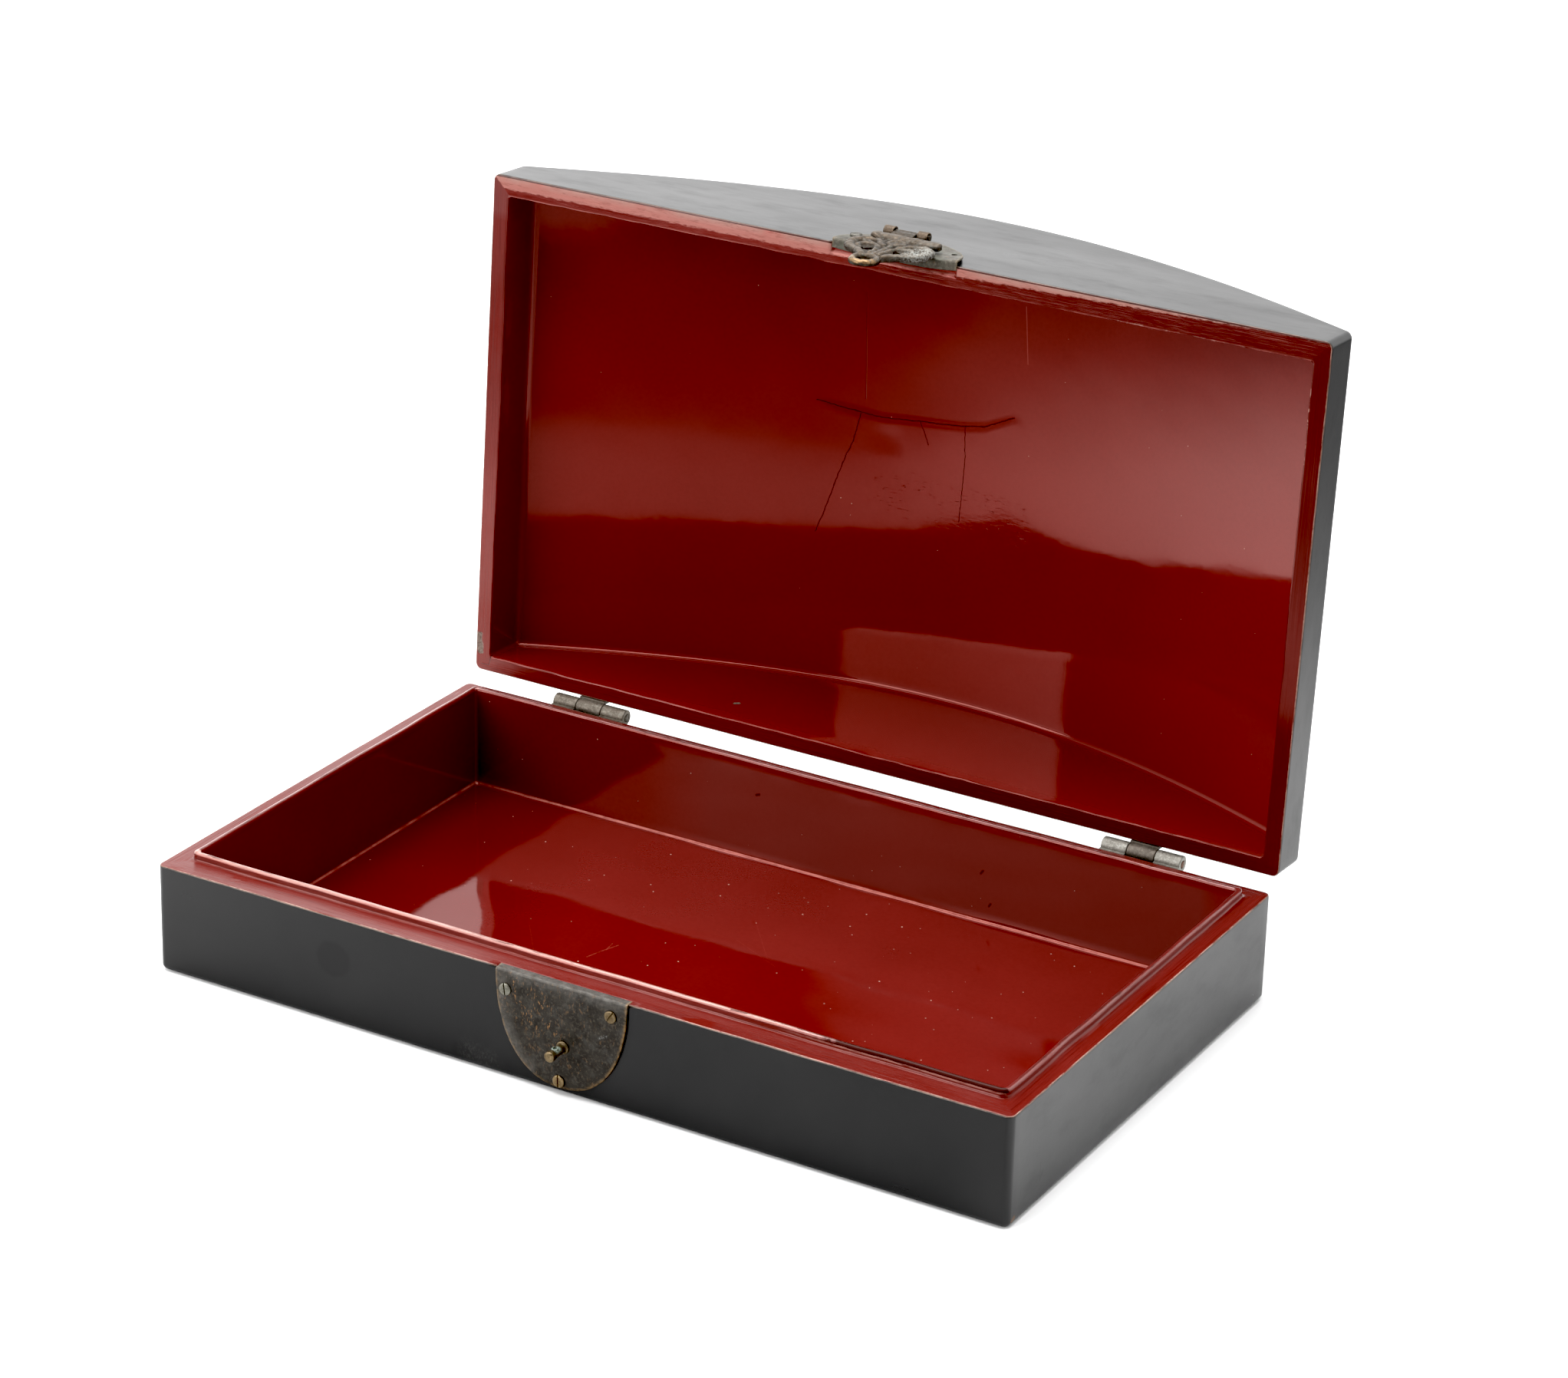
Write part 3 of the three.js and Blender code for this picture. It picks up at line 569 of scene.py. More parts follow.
        # dark scuffs along the crest of the lip
        crest = m.ramp(pz, 48.55, 48.85, 0.0, 1.0)
        scuff = m.add(m.mul(m.noise(1.0, 4, 0.68, stretch=(7, 0.7, 1), seed=32), m.sub(1.0, ends)), m.mul(m.noise(1.0, 4, 0.68, stretch=(0.7, 7, 1), seed=33), ends))
        band = m.ramp(m.noise(38, 2, 0.5, seed=34), 0.36, 0.56)
        scuff = m.mul(m.mul(m.ramp(scuff, 0.52, 0.59), crest), band)
        # long brown wear where the lid has rubbed the lip
        brown = m.maxi(line(m, [(66.0, -97.1), (72.5, -96.9)], 0.50, soft=0.4), line(m, [(88.0, -96.7), (108.0, -96.6)], 0.50, soft=0.6))
        brown = m.maxi(brown, m.mul(line(m, [(180.6, -72.0), (180.3, -48.0), (180.7, -12.0)], 0.42, soft=0.5), 0.8))
        brown = m.mul(m.mul(brown, m.ramp(pz, 47.9, 48.2)), m.ramp(m.noise(1.0, 4, 0.62, stretch=(5, 3, 1), seed=69), 0.40, 0.50))
        uneven = m.mul(m.sub(m.noise(1.0, 4, 0.62, stretch=(4, 1, 1), seed=70), 0.5), 1.1)
        low = m.add(pz, m.mul(uneven, 0.5))
        dark = m.mul(m.ramp(low, 47.5, 47.7), m.ramp(m.add(py, m.mul(uneven, 0.3)), -96.1, -96.4))
        dark = m.mul(dark, m.ramp(m.add(px, m.mul(m.sub(m.noise(3.0, 3, 0.6, seed=71), 0.5), 40.0)), 102.0, 112.0))
        # painted highlight: a pale pink line on the outer face of the front lip, right of the middle
        painted_lip_highlight = m.mul(m.mul(m.ramp(low, 47.7, 47.5), m.ramp(pz, 46.85, 47.0)), m.mul(m.ramp(py, -97.0, -97.3), m.ramp(px, 86.0, 108.0)))
        painted_lip_highlight = m.mul(painted_lip_highlight, m.ramp(m.noise(1.0, 4, 0.6, stretch=(6, 1, 1), seed=72), 0.36, 0.52))
        col = m.mix(m.mul(painted_lip_highlight, 0.7), col, (0.36, 0.20, 0.17))
        scuff = m.maxi(scuff, m.maxi(brown, dark))
        col = m.mix(m.mul(scuff, 0.9), col, (0.024, 0.006, 0.0045))
        satin_off = m.sub(1.0, m.mul(scuff, 0.85))
        rough = m.add(rough, m.mul(scuff, 0.4))
        marks = m.maxi(line(m, [(-39.2, 34.1), (-37.8, 34.7)], 0.35, (0, 2)), line(m, [(66.8, 26.0), (67.8, 27.4)], 0.3, (0, 2)))
        marks = m.mul(m.maxi(marks, line(m, [(71.2, 12.3), (71.9, 13.5)], 0.3, (0, 2))), m.ramp(py, 97.0, 98.0, 0.0, 1.0))
        col = m.mix(m.mul(marks, 0.8), col, (0.012, 0.003, 0.002))
        lines = m.maxi(m.mul(scuff, 0.5), m.mul(marks, 0.6))
    rough = m.add(rough, m.add(m.mul(specks, 0.3), m.mul(m.maxi(edge, m.mul(dirt, 0.6)), 0.3)))
    rough = m.add(rough, m.mul(m.mul(m.ramp(run, 0.35, 0.7), rim), 0.06))
    m.set("Roughness", rough)
    m.set("IOR", 1.59)
    if kind == "tray":
        m.set("Specular IOR Level", m.sub(0.5, m.add(m.mul(m.mul(rim, m.ramp(pz, 46.6, 45.9)), 0.26), m.mul(dark, 0.42))))
    m.set("Specular Tint", (1.0, 0.405, 0.36))
    # handled rims have gone satin
    patches = m.add(m.mul(run, 0.75), m.mul(m.noise(32, 2, 0.5, seed=51), 0.5))
    if kind == "lid":
        satin = m.mul(rim, m.ramp(patches, 0.46, 0.64, 0.25, 1.0))
    else:
        satin = m.mul(rim, m.ramp(patches, 0.52, 0.66, 0.0, 0.22))
        bead = m.ramp(pz, 48.2, 48.8, 0.0, 1.0)
        satin = m.maxi(satin, m.mul(m.mul(bead, rim), m.ramp(run, 0.32, 0.52, 0.25, 1.0)))
    if kind == "lid":
        front_left = m.mul(m.ramp(m.add(px, m.mul(m.noise(22, 3, 0.6, seed=52), 26.0)), -60.0, -42.0, 1.0, 0.16), m.ramp(py, -94.0, -90.0, 1.0, 0.45))
        satin = m.mul(satin, front_left)
    if kind == "tray":
        satin = m.mul(satin, satin_off)
    if kind == "lid":
        out_ = m.add(py, 108.9)
        ragged = m.mul(m.sub(m.noise(1.0, 4, 0.65, stretch=(3.0, 0.7, 1.0), seed=62), 0.5), 3.0)
        v = m.add(m.sub(out_, m.ramp(px, -40.0, 166.0, 5.2, 0.1)), ragged)
        front_ = m.mul(m.mul(rim, m.sub(1.0, ends)), m.ramp(py, -99.0, -99.6, 0.0, 1.0))
        # painted sheen: a pale pink band on the outer part of the front rim, wide at the left and narrowing to the
        # right
        painted_rim_sheen = m.mul(m.mul(m.ramp(v, -0.35, 0.30, 1.0, 0.0), front_), m.ramp(m.noise(1.0, 4, 0.6, stretch=(6, 1.2, 1), seed=63), 0.28, 0.5, 0.70, 1.0))
        painted_sheen_colour = m.mix(m.mul(m.ramp(out_, 3.2, 0.6, 0.0, 1.0), m.ramp(m.noise(24, 3, 0.6, seed=64), 0.36, 0.56)), (0.270, 0.112, 0.094), (0.27, 0.175, 0.148))
        col = m.mix(m.mul(painted_rim_sheen, 0.92), col, painted_sheen_colour)
        # painted highlight: pale streaks along the inner edge of the front rim
        inner = m.mul(m.mul(m.ramp(out_, 7.7, 8.1), front_), m.ramp(m.noise(1.0, 3, 0.6, stretch=(7, 1, 1), seed=65), 0.34, 0.5))
        col = m.mix(m.mul(inner, 0.5), col, (0.33, 0.115, 0.10))
        # painted highlight: pale patches along the inner edge of the front rim's right part and down the right end
        rub = m.mul(m.ramp(m.segments([(100.0, -100.6), (150.0, -100.3), (181.0, -99.6), (182.4, -92.0), (182.5, -60.0)], (0, 1)), 0.25, 0.75, 1.0, 0.0), m.ramp(m.noise(3.0, 4, 0.7, seed=66), 0.50, 0.60))
        rub = m.mul(rub, m.ramp(pz, 52.0, 50.0, 0.0, 1.0))
        col = m.mix(m.mul(rub, 0.8), col, (0.36, 0.22, 0.185))
        col = m.mix(m.mul(front_, m.ramp(out_, 0.50, 0.36)), col, (0.010, 0.008, 0.007))
        rough = m.add(rough, m.mul(painted_rim_sheen, 0.22))
        satin = m.mul(satin, m.sub(1.0, m.mul(front_, m.sub(0.9, m.mul(painted_rim_sheen, 0.7)))))
        m.set("Roughness", rough)
    # a thin pale line where the two colours meet: a painted highlight along the rounded edge
    seam = m.mul(m.ramp(wear, 0.45, 0.62), m.mul(m.ramp(m.noise(16, 3, 0.6, seed=55), 0.36, 0.5), m.ramp(m.noise(1.2, 3, 0.6, seed=56), 0.25, 0.5)))
    seam = m.mul(seam, m.mul(m.sub(1.0, m.mul(dirt, 0.8)), 0.75))
    if kind == "lid":
        seam = m.mul(seam, m.sub(0.6, m.mul(front_, 0.6)))
    col = m.mix(seam, col, (0.36, 0.25, 0.21))
    m.set("Coat Weight", satin)
    m.set("Coat Roughness", 0.30)
    m.set("Coat IOR", 1.5 if kind == "lid" else 1.72)
    m.set("Coat Tint", (1.0, 0.9, 0.88))
    m.set("Base Color", col)
    n = m.bump(height, 0.000016)
    n = m.bump(m.mul(run, rim), 0.00012, normal=n)
    n = m.bump(m.sub(1.0, lines), 0.00015, normal=n)
    n = m.bump(specks, 0.00005, normal=n)
    m.set("Normal", n)
    return m.m


def black_lacquer(name):
    m = Mat(name)
    sep = m.node("ShaderNodeSeparateXYZ")
    m.nt.links.new(m.p, sep.inputs[0])
    px, py, pz = sep.outputs
    big = m.noise(45, 3, 0.55, seed=31)
    col = m.mix(m.ramp(big, 0.3, 0.7), (0.0060, 0.0059, 0.0060), (0.0092, 0.0090, 0.0090))
    specks = m.dots(6.5, 0.24, seed=33, keep=0.70)
    col = m.mix(m.mul(specks, 0.5), col, (0.26, 0.25, 0.23))
    wear = m.attr("wear")
    edge = m.mul(m.ramp(m.add(wear, m.mul(m.noise(1.2, 3, 0.6, seed=44), 0.5)), 0.62, 1.05), m.ramp(m.noise(11, 4, 0.6, seed=41), 0.34, 0.54))
    col = m.mix(m.mul(edge, 0.85), col, (0.13, 0.088, 0.066))
    rough = m.ramp(m.noise(24, 4, 0.65, stretch=(3.4, 2.4, 0.8), seed=42), 0.3, 0.75, 0.27, 0.36)
    # cloudy stains left by damp
    cloud = m.ramp(m.noise(13, 5, 0.66, stretch=(2.6, 1.8, 0.8), seed=45), 0.50, 0.72)
    rough = m.add(rough, m.mul(cloud, 0.07))
    front = m.ramp(py, -107.5, -108.6, 0.0, 1.0)
    low = m.ramp(pz, 46.0, 45.0, 0.0, 1.0)

    def spot(c, r):
        return m.ramp(m.add(m.segments([c, (c[0] + 0.4, c[1])], (0, 2)), m.mul(m.noise(4.0, 2, 0.5, seed=57), 2.0)), r, r + 2.2, 1.0, 0.0, smooth=True)
    ring_ = m.sub(spot((-105.6, 27.5), 7.4), m.mul(spot((-105.6, 27.5), 5.0), 0.12))
    stain = m.maxi(ring_, m.mul(spot((-45.8, 4.0), 4.6), 0.7))
    stain = m.mul(m.mul(stain, front), low)
    scuffed = m.mul(m.ramp(m.segments([(-42.0, 5.5), (-33.0, 3.5)], (0, 2)), 1.0, 7.0, 1.0, 0.0), m.ramp(m.noise(1.0, 4, 0.7, stretch=(0.7, 1, 1.3), seed=58), 0.50, 0.60))
    scuffed = m.mul(m.mul(scuffed, front), low)
    col = m.mix(m.mul(scuffed, 0.35), col, (0.05, 0.048, 0.045))
    cracks = m.maxi(line(m, [(-84.6, 16.3), (-85.0, 8.6), (-82.5, 13.1)], 0.10, (1, 2)), line(m, [(-100.2, 10.4), (-99.6, 13.0)], 0.10, (1, 2)))
    cracks = m.mul(m.mul(cracks, m.ramp(px, 187.0, 188.5, 0.0, 1.0)), low)
    chip = m.ramp(m.add(m.segments([(-106.0, 2.2), (-104.4, 3.0)], (1, 2)), m.mul(m.noise(1.2, 3, 0.6, seed=59), 0.9)), 1.1, 1.4, 1.0, 0.0)
    chip = m.mul(m.mul(chip, m.ramp(px, 186.5, 187.5, 0.0, 1.0)), low)
    col = m.mix(chip, col, (0.11, 0.062, 0.035))
    m.set("Base Color", col)
    m.set("Roughness", m.add(rough, m.mul(m.maxi(specks, m.maxi(scuffed, chip)), 0.2)))
    m.set("IOR", 1.45)
    m.set("Specular IOR Level", m.sub(0.5, m.mul(m.maxi(m.mul(stain, 0.6), m.mul(cracks, 1.5)), 0.10)))
    h = m.add(m.noise(9, 2, 0.5, seed=51), m.mul(m.noise(1.2, 2, 0.5, seed=52), 0.08))
    m.set("Normal", m.bump(h, 0.00003))
    return m.m


RED_TRAY = red_lacquer("red_lacquer_tray", "tray")
RED_LID = red_lacquer("red_lacquer_lid", "lid")
BLACK = black_lacquer("black_lacquer")


# ---------------------------------------------------------------- lacquered tray
def spread(lo, hi, step, extra=()):
    n = max(2, int(round((hi - lo) / step)))
    v = list(np.linspace(lo, hi, n + 1))
    for e in extra:
        v = [a for a in v if abs(a - e) > 0.45 * step or a in (lo, hi)]
    v = sorted(set(v) | set(extra))
    return v


LOCK_X0, LOCK_X1 = -30.0, 29.0
HP_X0, HP_X1 = -28.5, 28.5


def build_tray():
    step = 4.0
    xs = spread(-186, 186, step, (LOCK_X0 - 0.05, LOCK_X0 + 0.05, LOCK_X1 - 0.05, LOCK_X1 + 0.05))
    xs = [x / KEEP_S for x in xs]
    ys = [y / 105.4 for y in spread(-105.4, 105.4, step)]
    s = Stack(xs, ys)
    LF, LB, LE = 11.4, 7.8, 8.2
    for i in range(7):
        a = math.radians(15 * i)
        k = 2.4 * (1 - math.sin(a))
        s.ring((k, k, k), max(3 - k, 0.6), 2.4 * (1 - math.cos(a)), 0)
        if i == 0:
            s.cap(0.0, 0)
    for z in (6, 10, 15, 20, 25, 30, 35, 39, 42.5, 44.35, 44.45):
        s.ring((0, 0, 0), 3.0, z, 0, tag=0.3 if z > 44 else 0.0)
    for i in range(6):
        a = math.radians(18 * i)
        k = 0.7 * (1 - math.cos(a))
        s.ring((k, k, k), 3.0 - k, 45.0 + 0.7 * math.sin(a), 0 if i < 4 else 1, tag=(0.25, 0.6, 1.0, 1.0, 0.9, 0.5)[i])
    for q in (0.06, 0.12, 0.2629, 0.2732, 0.4, 0.55, 0.7, 0.85, 1.0):
        k = [0.7 + q * (t - 1.7) for t in (LF, LB, LE)]
        s.ring(k, 2.3 + 2.7 * q, BASE_H, 1)
    for i in range(1, 5):
        a = math.radians(22.5 * i)
        o = -1 + math.sin(a)
        s.ring((LF + o, LB + o, LE + o), 4 - o, BASE_H + 1 - math.cos(a), 1)
    for i in range(0, 11):
        a = math.radians(18 * i)
        o = 1.3 - 1.3 * math.cos(a)
        s.ring((LF + o, LB + o, LE + o), max(4 - o, 1.4), 47.7 + 1.3 * math.sin(a), 1)
    for z in (45, 41, 37, 33, 29, 25, 21, 17, 13, 9.2, 5.9):
        s.ring((LF + 2.6, LB + 2.6, LE + 2.6), 1.4, z, 1)
    for i in range(1, 8):
        a = math.radians(90 / 7 * i)
        o = 2.6 + 1.4 * (1 - math.cos(a))
        s.ring((LF + o, LB + o, LE + o), max(1.4 - 0.3 * (o - 2.6), 0.5), 5.9 - 1.4 * math.sin(a), 1)
    s.cap(4.5, 1)
    v = np.array(s.verts)
    tag = np.array(s.tag)
    x, y, z = v.T
    # the recess that takes the lock plate's flange
    inset = y + D2
    rec = (x > LOCK_X0) & (x < LOCK_X1) & (inset < 3.24) & (z > 44.4)
    # hand-made unevenness
    p3 = v.copy()
    inside = (np.abs(x) < L2 - 9.5) & (y > -D2 + 12) & (y < D2 - 9)
    floor = inside & (z < 4.6) & (z > 3.5)
    v[:, 2] += np.where(floor, 0.10 * wobble(p3[:, :2], 1, 25, 110), 0)
    rim = (z > 45.3) & ~rec
    v[:, 2] += np.where(rim, -0.05 + 0.05 * wobble(p3[:, :2], 2, 18, 90), 0)
    # walls: only ever inwards on the outside
    cx, cy = np.sign(x), np.sign(y)
    outer = (z < 45.5) & ((np.abs(x) > L2 - 2.5) | (np.abs(y) > D2 - 2.5))
    d = 0.09 * np.clip(1 + wobble(p3, 3, 40, 160), 0, 2) / 2 * np.clip((z - 2) / 6, 0, 1)
    v[:, 0] -= np.where(outer & (np.abs(x) > L2 - 2.5), cx * d, 0)
    v[:, 1] -= np.where(outer & (np.abs(y) > D2 - 2.5), cy * d, 0)
    # lip: a slightly wandering line
    lip = (z > 45.75)
    w = 0.16 * wobble(p3[:, :2], 4, 9, 60)
    long_side = np.abs(np.abs(y) - D2) < 16
    v[:, 1] += np.where(lip & long_side, w, 0)
    v[:, 0] += np.where(lip & ~long_side, w, 0)
    for cx_, cy_ in ((-1, -1), (1, -1), (1, 1), (-1, 1)):
        ex, ey = cx_ * (L2 - 9.6), (-(D2 - 12.8) if cy_ < 0 else D2 - 9.2)
        rr = np.hypot(x - ex, y - ey)
        lump = np.exp(-(rr / 1.7) ** 2) + 0.8 * np.exp(-(np.hypot(x - ex + 4.6 * cx_, y - ey) / 1.4) ** 2)
        v[:, 2] += np.where(lip, 0.34 * lump, 0)
        v[:, 0] += np.where(lip, 0.35 * cx_ * lump, 0)
        v[:, 1] += np.where(lip, 0.35 * cy_ * lump, 0)
    # inner walls
    wall = (z > 5.85) & (z < 46) & (np.abs(x) < L2 - 10.4) & (np.abs(y) < D2 - 10)
    wi = 0.045 * wobble(p3, 5, 50, 160)
    near_y = (np.abs(y + D2 - 14) < 2.5) | (np.abs(D2 - y - 10.4) < 2.0)
    v[:, 1] += np.where(wall & near_y, wi, 0)
    v[:, 0] += np.where(wall & ~near_y, wi, 0)
    v[rec, 2] = 44.4
    o = new_object("base_lacquered_tray", v, s.faces, s.mats)
    outward(o)
    float_attr(o, "wear", tag)
    float_attr(o, "floor", floor)
    float_attr(o, "panel", floor | wall)
    float_attr(o, "rim", (z > 45.6) & ~rec)
    float_attr(o, "ends", (np.abs(x) - 178 > np.abs(y) - 96))
    nodes = ["base_front_board", "base_back_board", "base_left_end_board", "base_right_end_board", "base_bottom_board",
             "lip_strip_front", "lip_strip_back", "lip_strip_left", "lip_strip_right"]
    return place(o, "base", "base", [BLACK, RED_TRAY], nodes)


# ---------------------------------------------------------------- lacquered lid
def drop(x):
    return 1.88e-3 * x * x - 6.9e-9 * x ** 4


def slope(x):
    return 2 * 1.88e-3 * x - 4 * 6.9e-9 * x ** 3


def crown_out(x):
    return LID_Z + 80 - drop(x)


def crown_in(x):
    return LID_Z + 80 - drop(x) - 4.0 * np.sqrt(1 + slope(x) ** 2)


def build_lid():
    step = 3.0
    xs = spread(-186, 186, step, (HP_X0 - 0.05, HP_X0 + 0.05, HP_X1 - 0.05, HP_X1 + 0.05))
    xs = [x / KEEP_S for x in xs]
    ys = [y / 105.4 for y in spread(-105.4, 105.4, step)]
    s = Stack(xs, ys)
    R = 3.5
    TF, TB, TE = 8.9, 7.0, 7.4

    def out(t):
        k = R - math.sqrt(max(R * R - (R - t) ** 2, 0))
        return lambda x, y: crown_out(x) - k * np.sqrt(1 + (slope(x) * 0.5) ** 2)
    for i in range(8):
        a = math.radians(90 / 7 * i)
        t = R * (1 - math.sin(a))
        s.ring((t, t, t), max(3 - t, 0.45), out(t), 0)
        if i == 0:
            s.cap(out(t), 0)
    for q in (0.03, 0.1, 0.22, 0.36, 0.5, 0.64, 0.78, 0.9):
        s.ring((0, 0, 0), 3.0, lambda x, y, q=q: (1 - q) * (crown_out(x) - R) + q * (LID_Z + 1.35), 0)
    s.ring((0, 0, 0), 3.0, LID_Z + 1.35, 0)
    s.ring((0, 0, 0), 3.0, LID_Z + 1.25, 0)
    for i in range(6):
        a = math.radians(18 * i)
        k = 0.6 * (1 - math.cos(a))
        s.ring((k, k, k), 3.0 - k, LID_Z + 0.6 - 0.6 * math.sin(a), 0 if i < 4 else 1, tag=(0.25, 0.6, 1.0, 1.0, 0.9, 0.5)[i])
    for q in (0.08, 0.16, 0.34, 0.355, 0.5, 0.65, 0.8, 0.92, 1.0):
        k = [0.6 + q * (t - 1.3) for t in (TF, TB, TE)]
        s.ring(k, 2.4 - 0.6 * q, LID_Z, 1)
    for i in range(1, 6):
        a = math.radians(18 * i)
        o = -0.7 + 0.7 * math.sin(a)
        s.ring((TF + o, TB + o, TE + o), 1.8, LID_Z + 0.7 - 0.7 * math.cos(a), 1)
    RI = 2.2

    def wall_top(x, y):
        return crown_in(x) - RI
    for q in (0.12, 0.25, 0.4, 0.55, 0.7, 0.85, 1.0):
        s.ring((TF, TB, TE), 1.6, lambda x, y, q=q: (1 - q) * (LID_Z + 0.7) + q * wall_top(x, y), 1)
    for i in range(1, 8):
        a = math.radians(90 / 7 * i)
        o = RI * (1 - math.cos(a))
        s.ring((TF + o, TB + o, TE + o), max(1.6 - 0.3 * o, 0.5), lambda x, y, a=a: crown_in(x) - RI + RI * math.sin(a), 1)

    def follow(g):
        """Bends two neighbouring rows of the grid along the crack."""
        cr = np.array(LONG_CRACK)
        j0 = int(np.argmin(np.abs(g[:, g.shape[1] // 2, 1] + 20)))
        for i in range(1, g.shape[1] - 1):
            x_ = g[j0, i, 0]
            yc = np.interp(x_, cr[:, 0], cr[:, 1])
            f = np.clip((x_ + 110) / 40, 0, 1) * np.clip((70 - x_) / 45, 0, 1)
            y0, y1 = g[j0, i, 1], g[j0 + 1, i, 1]
            t0, t1 = y0 + f * (yc - y0), y1 + f * (yc + 0.3 - y1)
            lo_, hi_ = g[1, i, 1], g[-2, i, 1]
            for j in range(1, g.shape[0] - 1):
                yy = g[j, i, 1]
                if yy <= y0:
                    g[j, i, 1] = lo_ + (yy - lo_) * (t0 - lo_) / (y0 - lo_)
                else:
                    g[j, i, 1] = t1 + (yy - y1) * (hi_ - t1) / (hi_ - y1)
        return g
    s.cap(lambda x, y: crown_in(x), 1, follow)
    v = np.array(s.verts)
    tag = np.array(s.tag)
    x, y, z = v.T
    p3 = v.copy()
    inset = y + D2
    rec = (x > HP_X0) & (x < HP_X1) & (inset < 3.44) & (z < LID_Z + 1.3)
    inner = (np.abs(x) < L2 - 8) & (np.abs(y) < D2 - 8) & (z > LID_Z + 10)
    cap_in = inner & (np.abs(z - crown_in(x)) < 0.4)
    xy = p3[:, :2]
    v[:, 2] += np.where(cap_in, 0.075 * wobble(xy, 11, 70, 190) + 0.006 * wobble(xy, 18, 14, 34), 0)
    # the skin has lifted along the crack and leans back from it
    cr = np.array(LONG_CRACK)
    yc = np.interp(x, cr[:, 0], cr[:, 1])
    below = y - yc
    part = np.clip((x + 70) / 14, 0, 1) * np.clip((27 - x) / 16, 0, 1)
    part = part * part * (3 - 2 * part)
    lifted = cap_in & (below > 0.12)
    v[:, 2] -= np.where(lifted, 0.055 * part * np.clip(1 - below / 30, 0, 1) ** 1.3, 0)
    # a dimple between the two branches, and the flake beside it
    v[:, 2] += np.where(cap_in, 0.10 * np.exp(-((x + 36) / 6.5) ** 2 - ((y + 9) / 5.5) ** 2), 0)
    v[:, 2] += np.where(cap_in, 0.07 * np.exp(-((x + 22) / 12) ** 2 - ((y - 10) / 9) ** 2), 0)
    cap_out = np.abs(z - crown_out(x)) < 0.6
    v[:, 2] -= np.where(cap_out, 0.10 * np.clip(1 + wobble(xy, 12, 40, 160), 0, 2) / 2, 0)
    outer = ~cap_out & ((np.abs(x) > L2 - 2.5) | (np.abs(y) > D2 - 2.5))
    d = 0.09 * np.clip(1 + wobble(p3, 13, 40, 160), 0, 2) / 2
    v[:, 0] -= np.where(outer & (np.abs(x) > L2 - 2.5), np.sign(x) * d, 0)
    v[:, 1] -= np.where(outer & (np.abs(y) > D2 - 2.5), np.sign(y) * d, 0)
    rim = (z < LID_Z + 0.5) & ~rec
    v[:, 2] += np.where(rim, 0.05 + 0.05 * wobble(p3[:, :2], 14, 18, 90), 0)
    # inner edge of the rim wanders
    edge = (z < LID_Z + 3) & (np.abs(x) < L2 - 6.2) & (y > -D2 + 7.6) & (y < D2 - 5.7)
    w = 0.14 * wobble(p3[:, :2], 15, 8, 60)
    long_side = (inset < 11) | (D2 - y < 9)
    v[:, 1] += np.where(edge & long_side, w, 0)
    v[:, 0] += np.where(edge & ~long_side, w, 0)
    v[rec, 2] = LID_Z + 1.3
    o = new_object("lid_lacquered_dome", v, s.faces, s.mats)
    outward(o)
    float_attr(o, "wear", tag)
    float_attr(o, "crown", cap_in)
    float_attr(o, "panel", inner)
    float_attr(o, "rim", (z < LID_Z + 0.5) & ~rec)
    float_attr(o, "ends", (np.abs(x) - 180 > np.abs(y) - 99))
    nodes = ["lid_front_board", "lid_back_board", "lid_left_end_board", "lid_right_end_board", "lid_crown_panel"]
    return place(o, "lid", "lid", [BLACK, RED_LID], nodes)


# ---------------------------------------------------------------- metalwork
def lathe(name, profile, n=48):
    """A solid of revolution about Z. profile is (r, z) from the lower pole to the upper one."""
    verts, faces = [], []
    rows = []
    for r, z in profile:
        if r <= 1e-9:
            rows.append([len(verts)])
            verts.append((0, 0, z))
        else:
            rows.append(list(range(len(verts), len(verts) + n)))
            verts += [(r * math.cos(2 * math.pi * i / n), r * math.sin(2 * math.pi * i / n), z) for i in range(n)]
    for a, b in zip(rows[:-1], rows[1:]):
        for i in range(n):
            j = (i + 1) % n
            if len(a) == 1:
                faces.append((a[0], b[j], b[i]))
            elif len(b) == 1:
                faces.append((a[i], a[j], b[0]))
            else:
                faces.append((a[i], a[j], b[j], b[i]))
    o = new_object(name, verts, faces)
    outward(o)
    return o


def block(name, x0, x1, y0, y1, z0, z1):
    v = [(x, y, z) for z in (z0, z1) for y in (y0, y1) for x in (x0, x1)]
    f = [(0, 2, 3, 1), (4, 5, 7, 6), (0, 1, 5, 4), (2, 6, 7, 3), (0, 4, 6, 2), (1, 3, 7, 5)]
    o = new_object(name, v, f)
    outward(o)
    return o


def turned(o, rows, origin=(0, 0, 0)):
    """Local axes to construction axes; rows are the images of local x, y and z."""
    p = coords(o)
    r = np.array(rows, float)
    set_coords(o, p @ r + np.array(origin, float))
    outward(o)
    return o


FRONT = ((1, 0, 0), (0, 0, 1), (0, -1, 0))       # local z towards the viewer in front
BACK = ((1, 0, 0), (0, 0, -1), (0, 1, 0))


def rot2(o, a):
    p = coords(o)
    c, s_ = math.cos(a), math.sin(a)
    set_coords(o, np.stack([c * p[:, 0] - s_ * p[:, 1], s_ * p[:, 0] + c * p[:, 1], p[:, 2]], 1))
    return o


def rough_up(o, seed, amount, low, high):
    p = coords(o)
    d = np.stack([wobble(p, seed + k, low, high) for k in range(3)], 1)
    set_coords(o, p + amount * d)
    return o


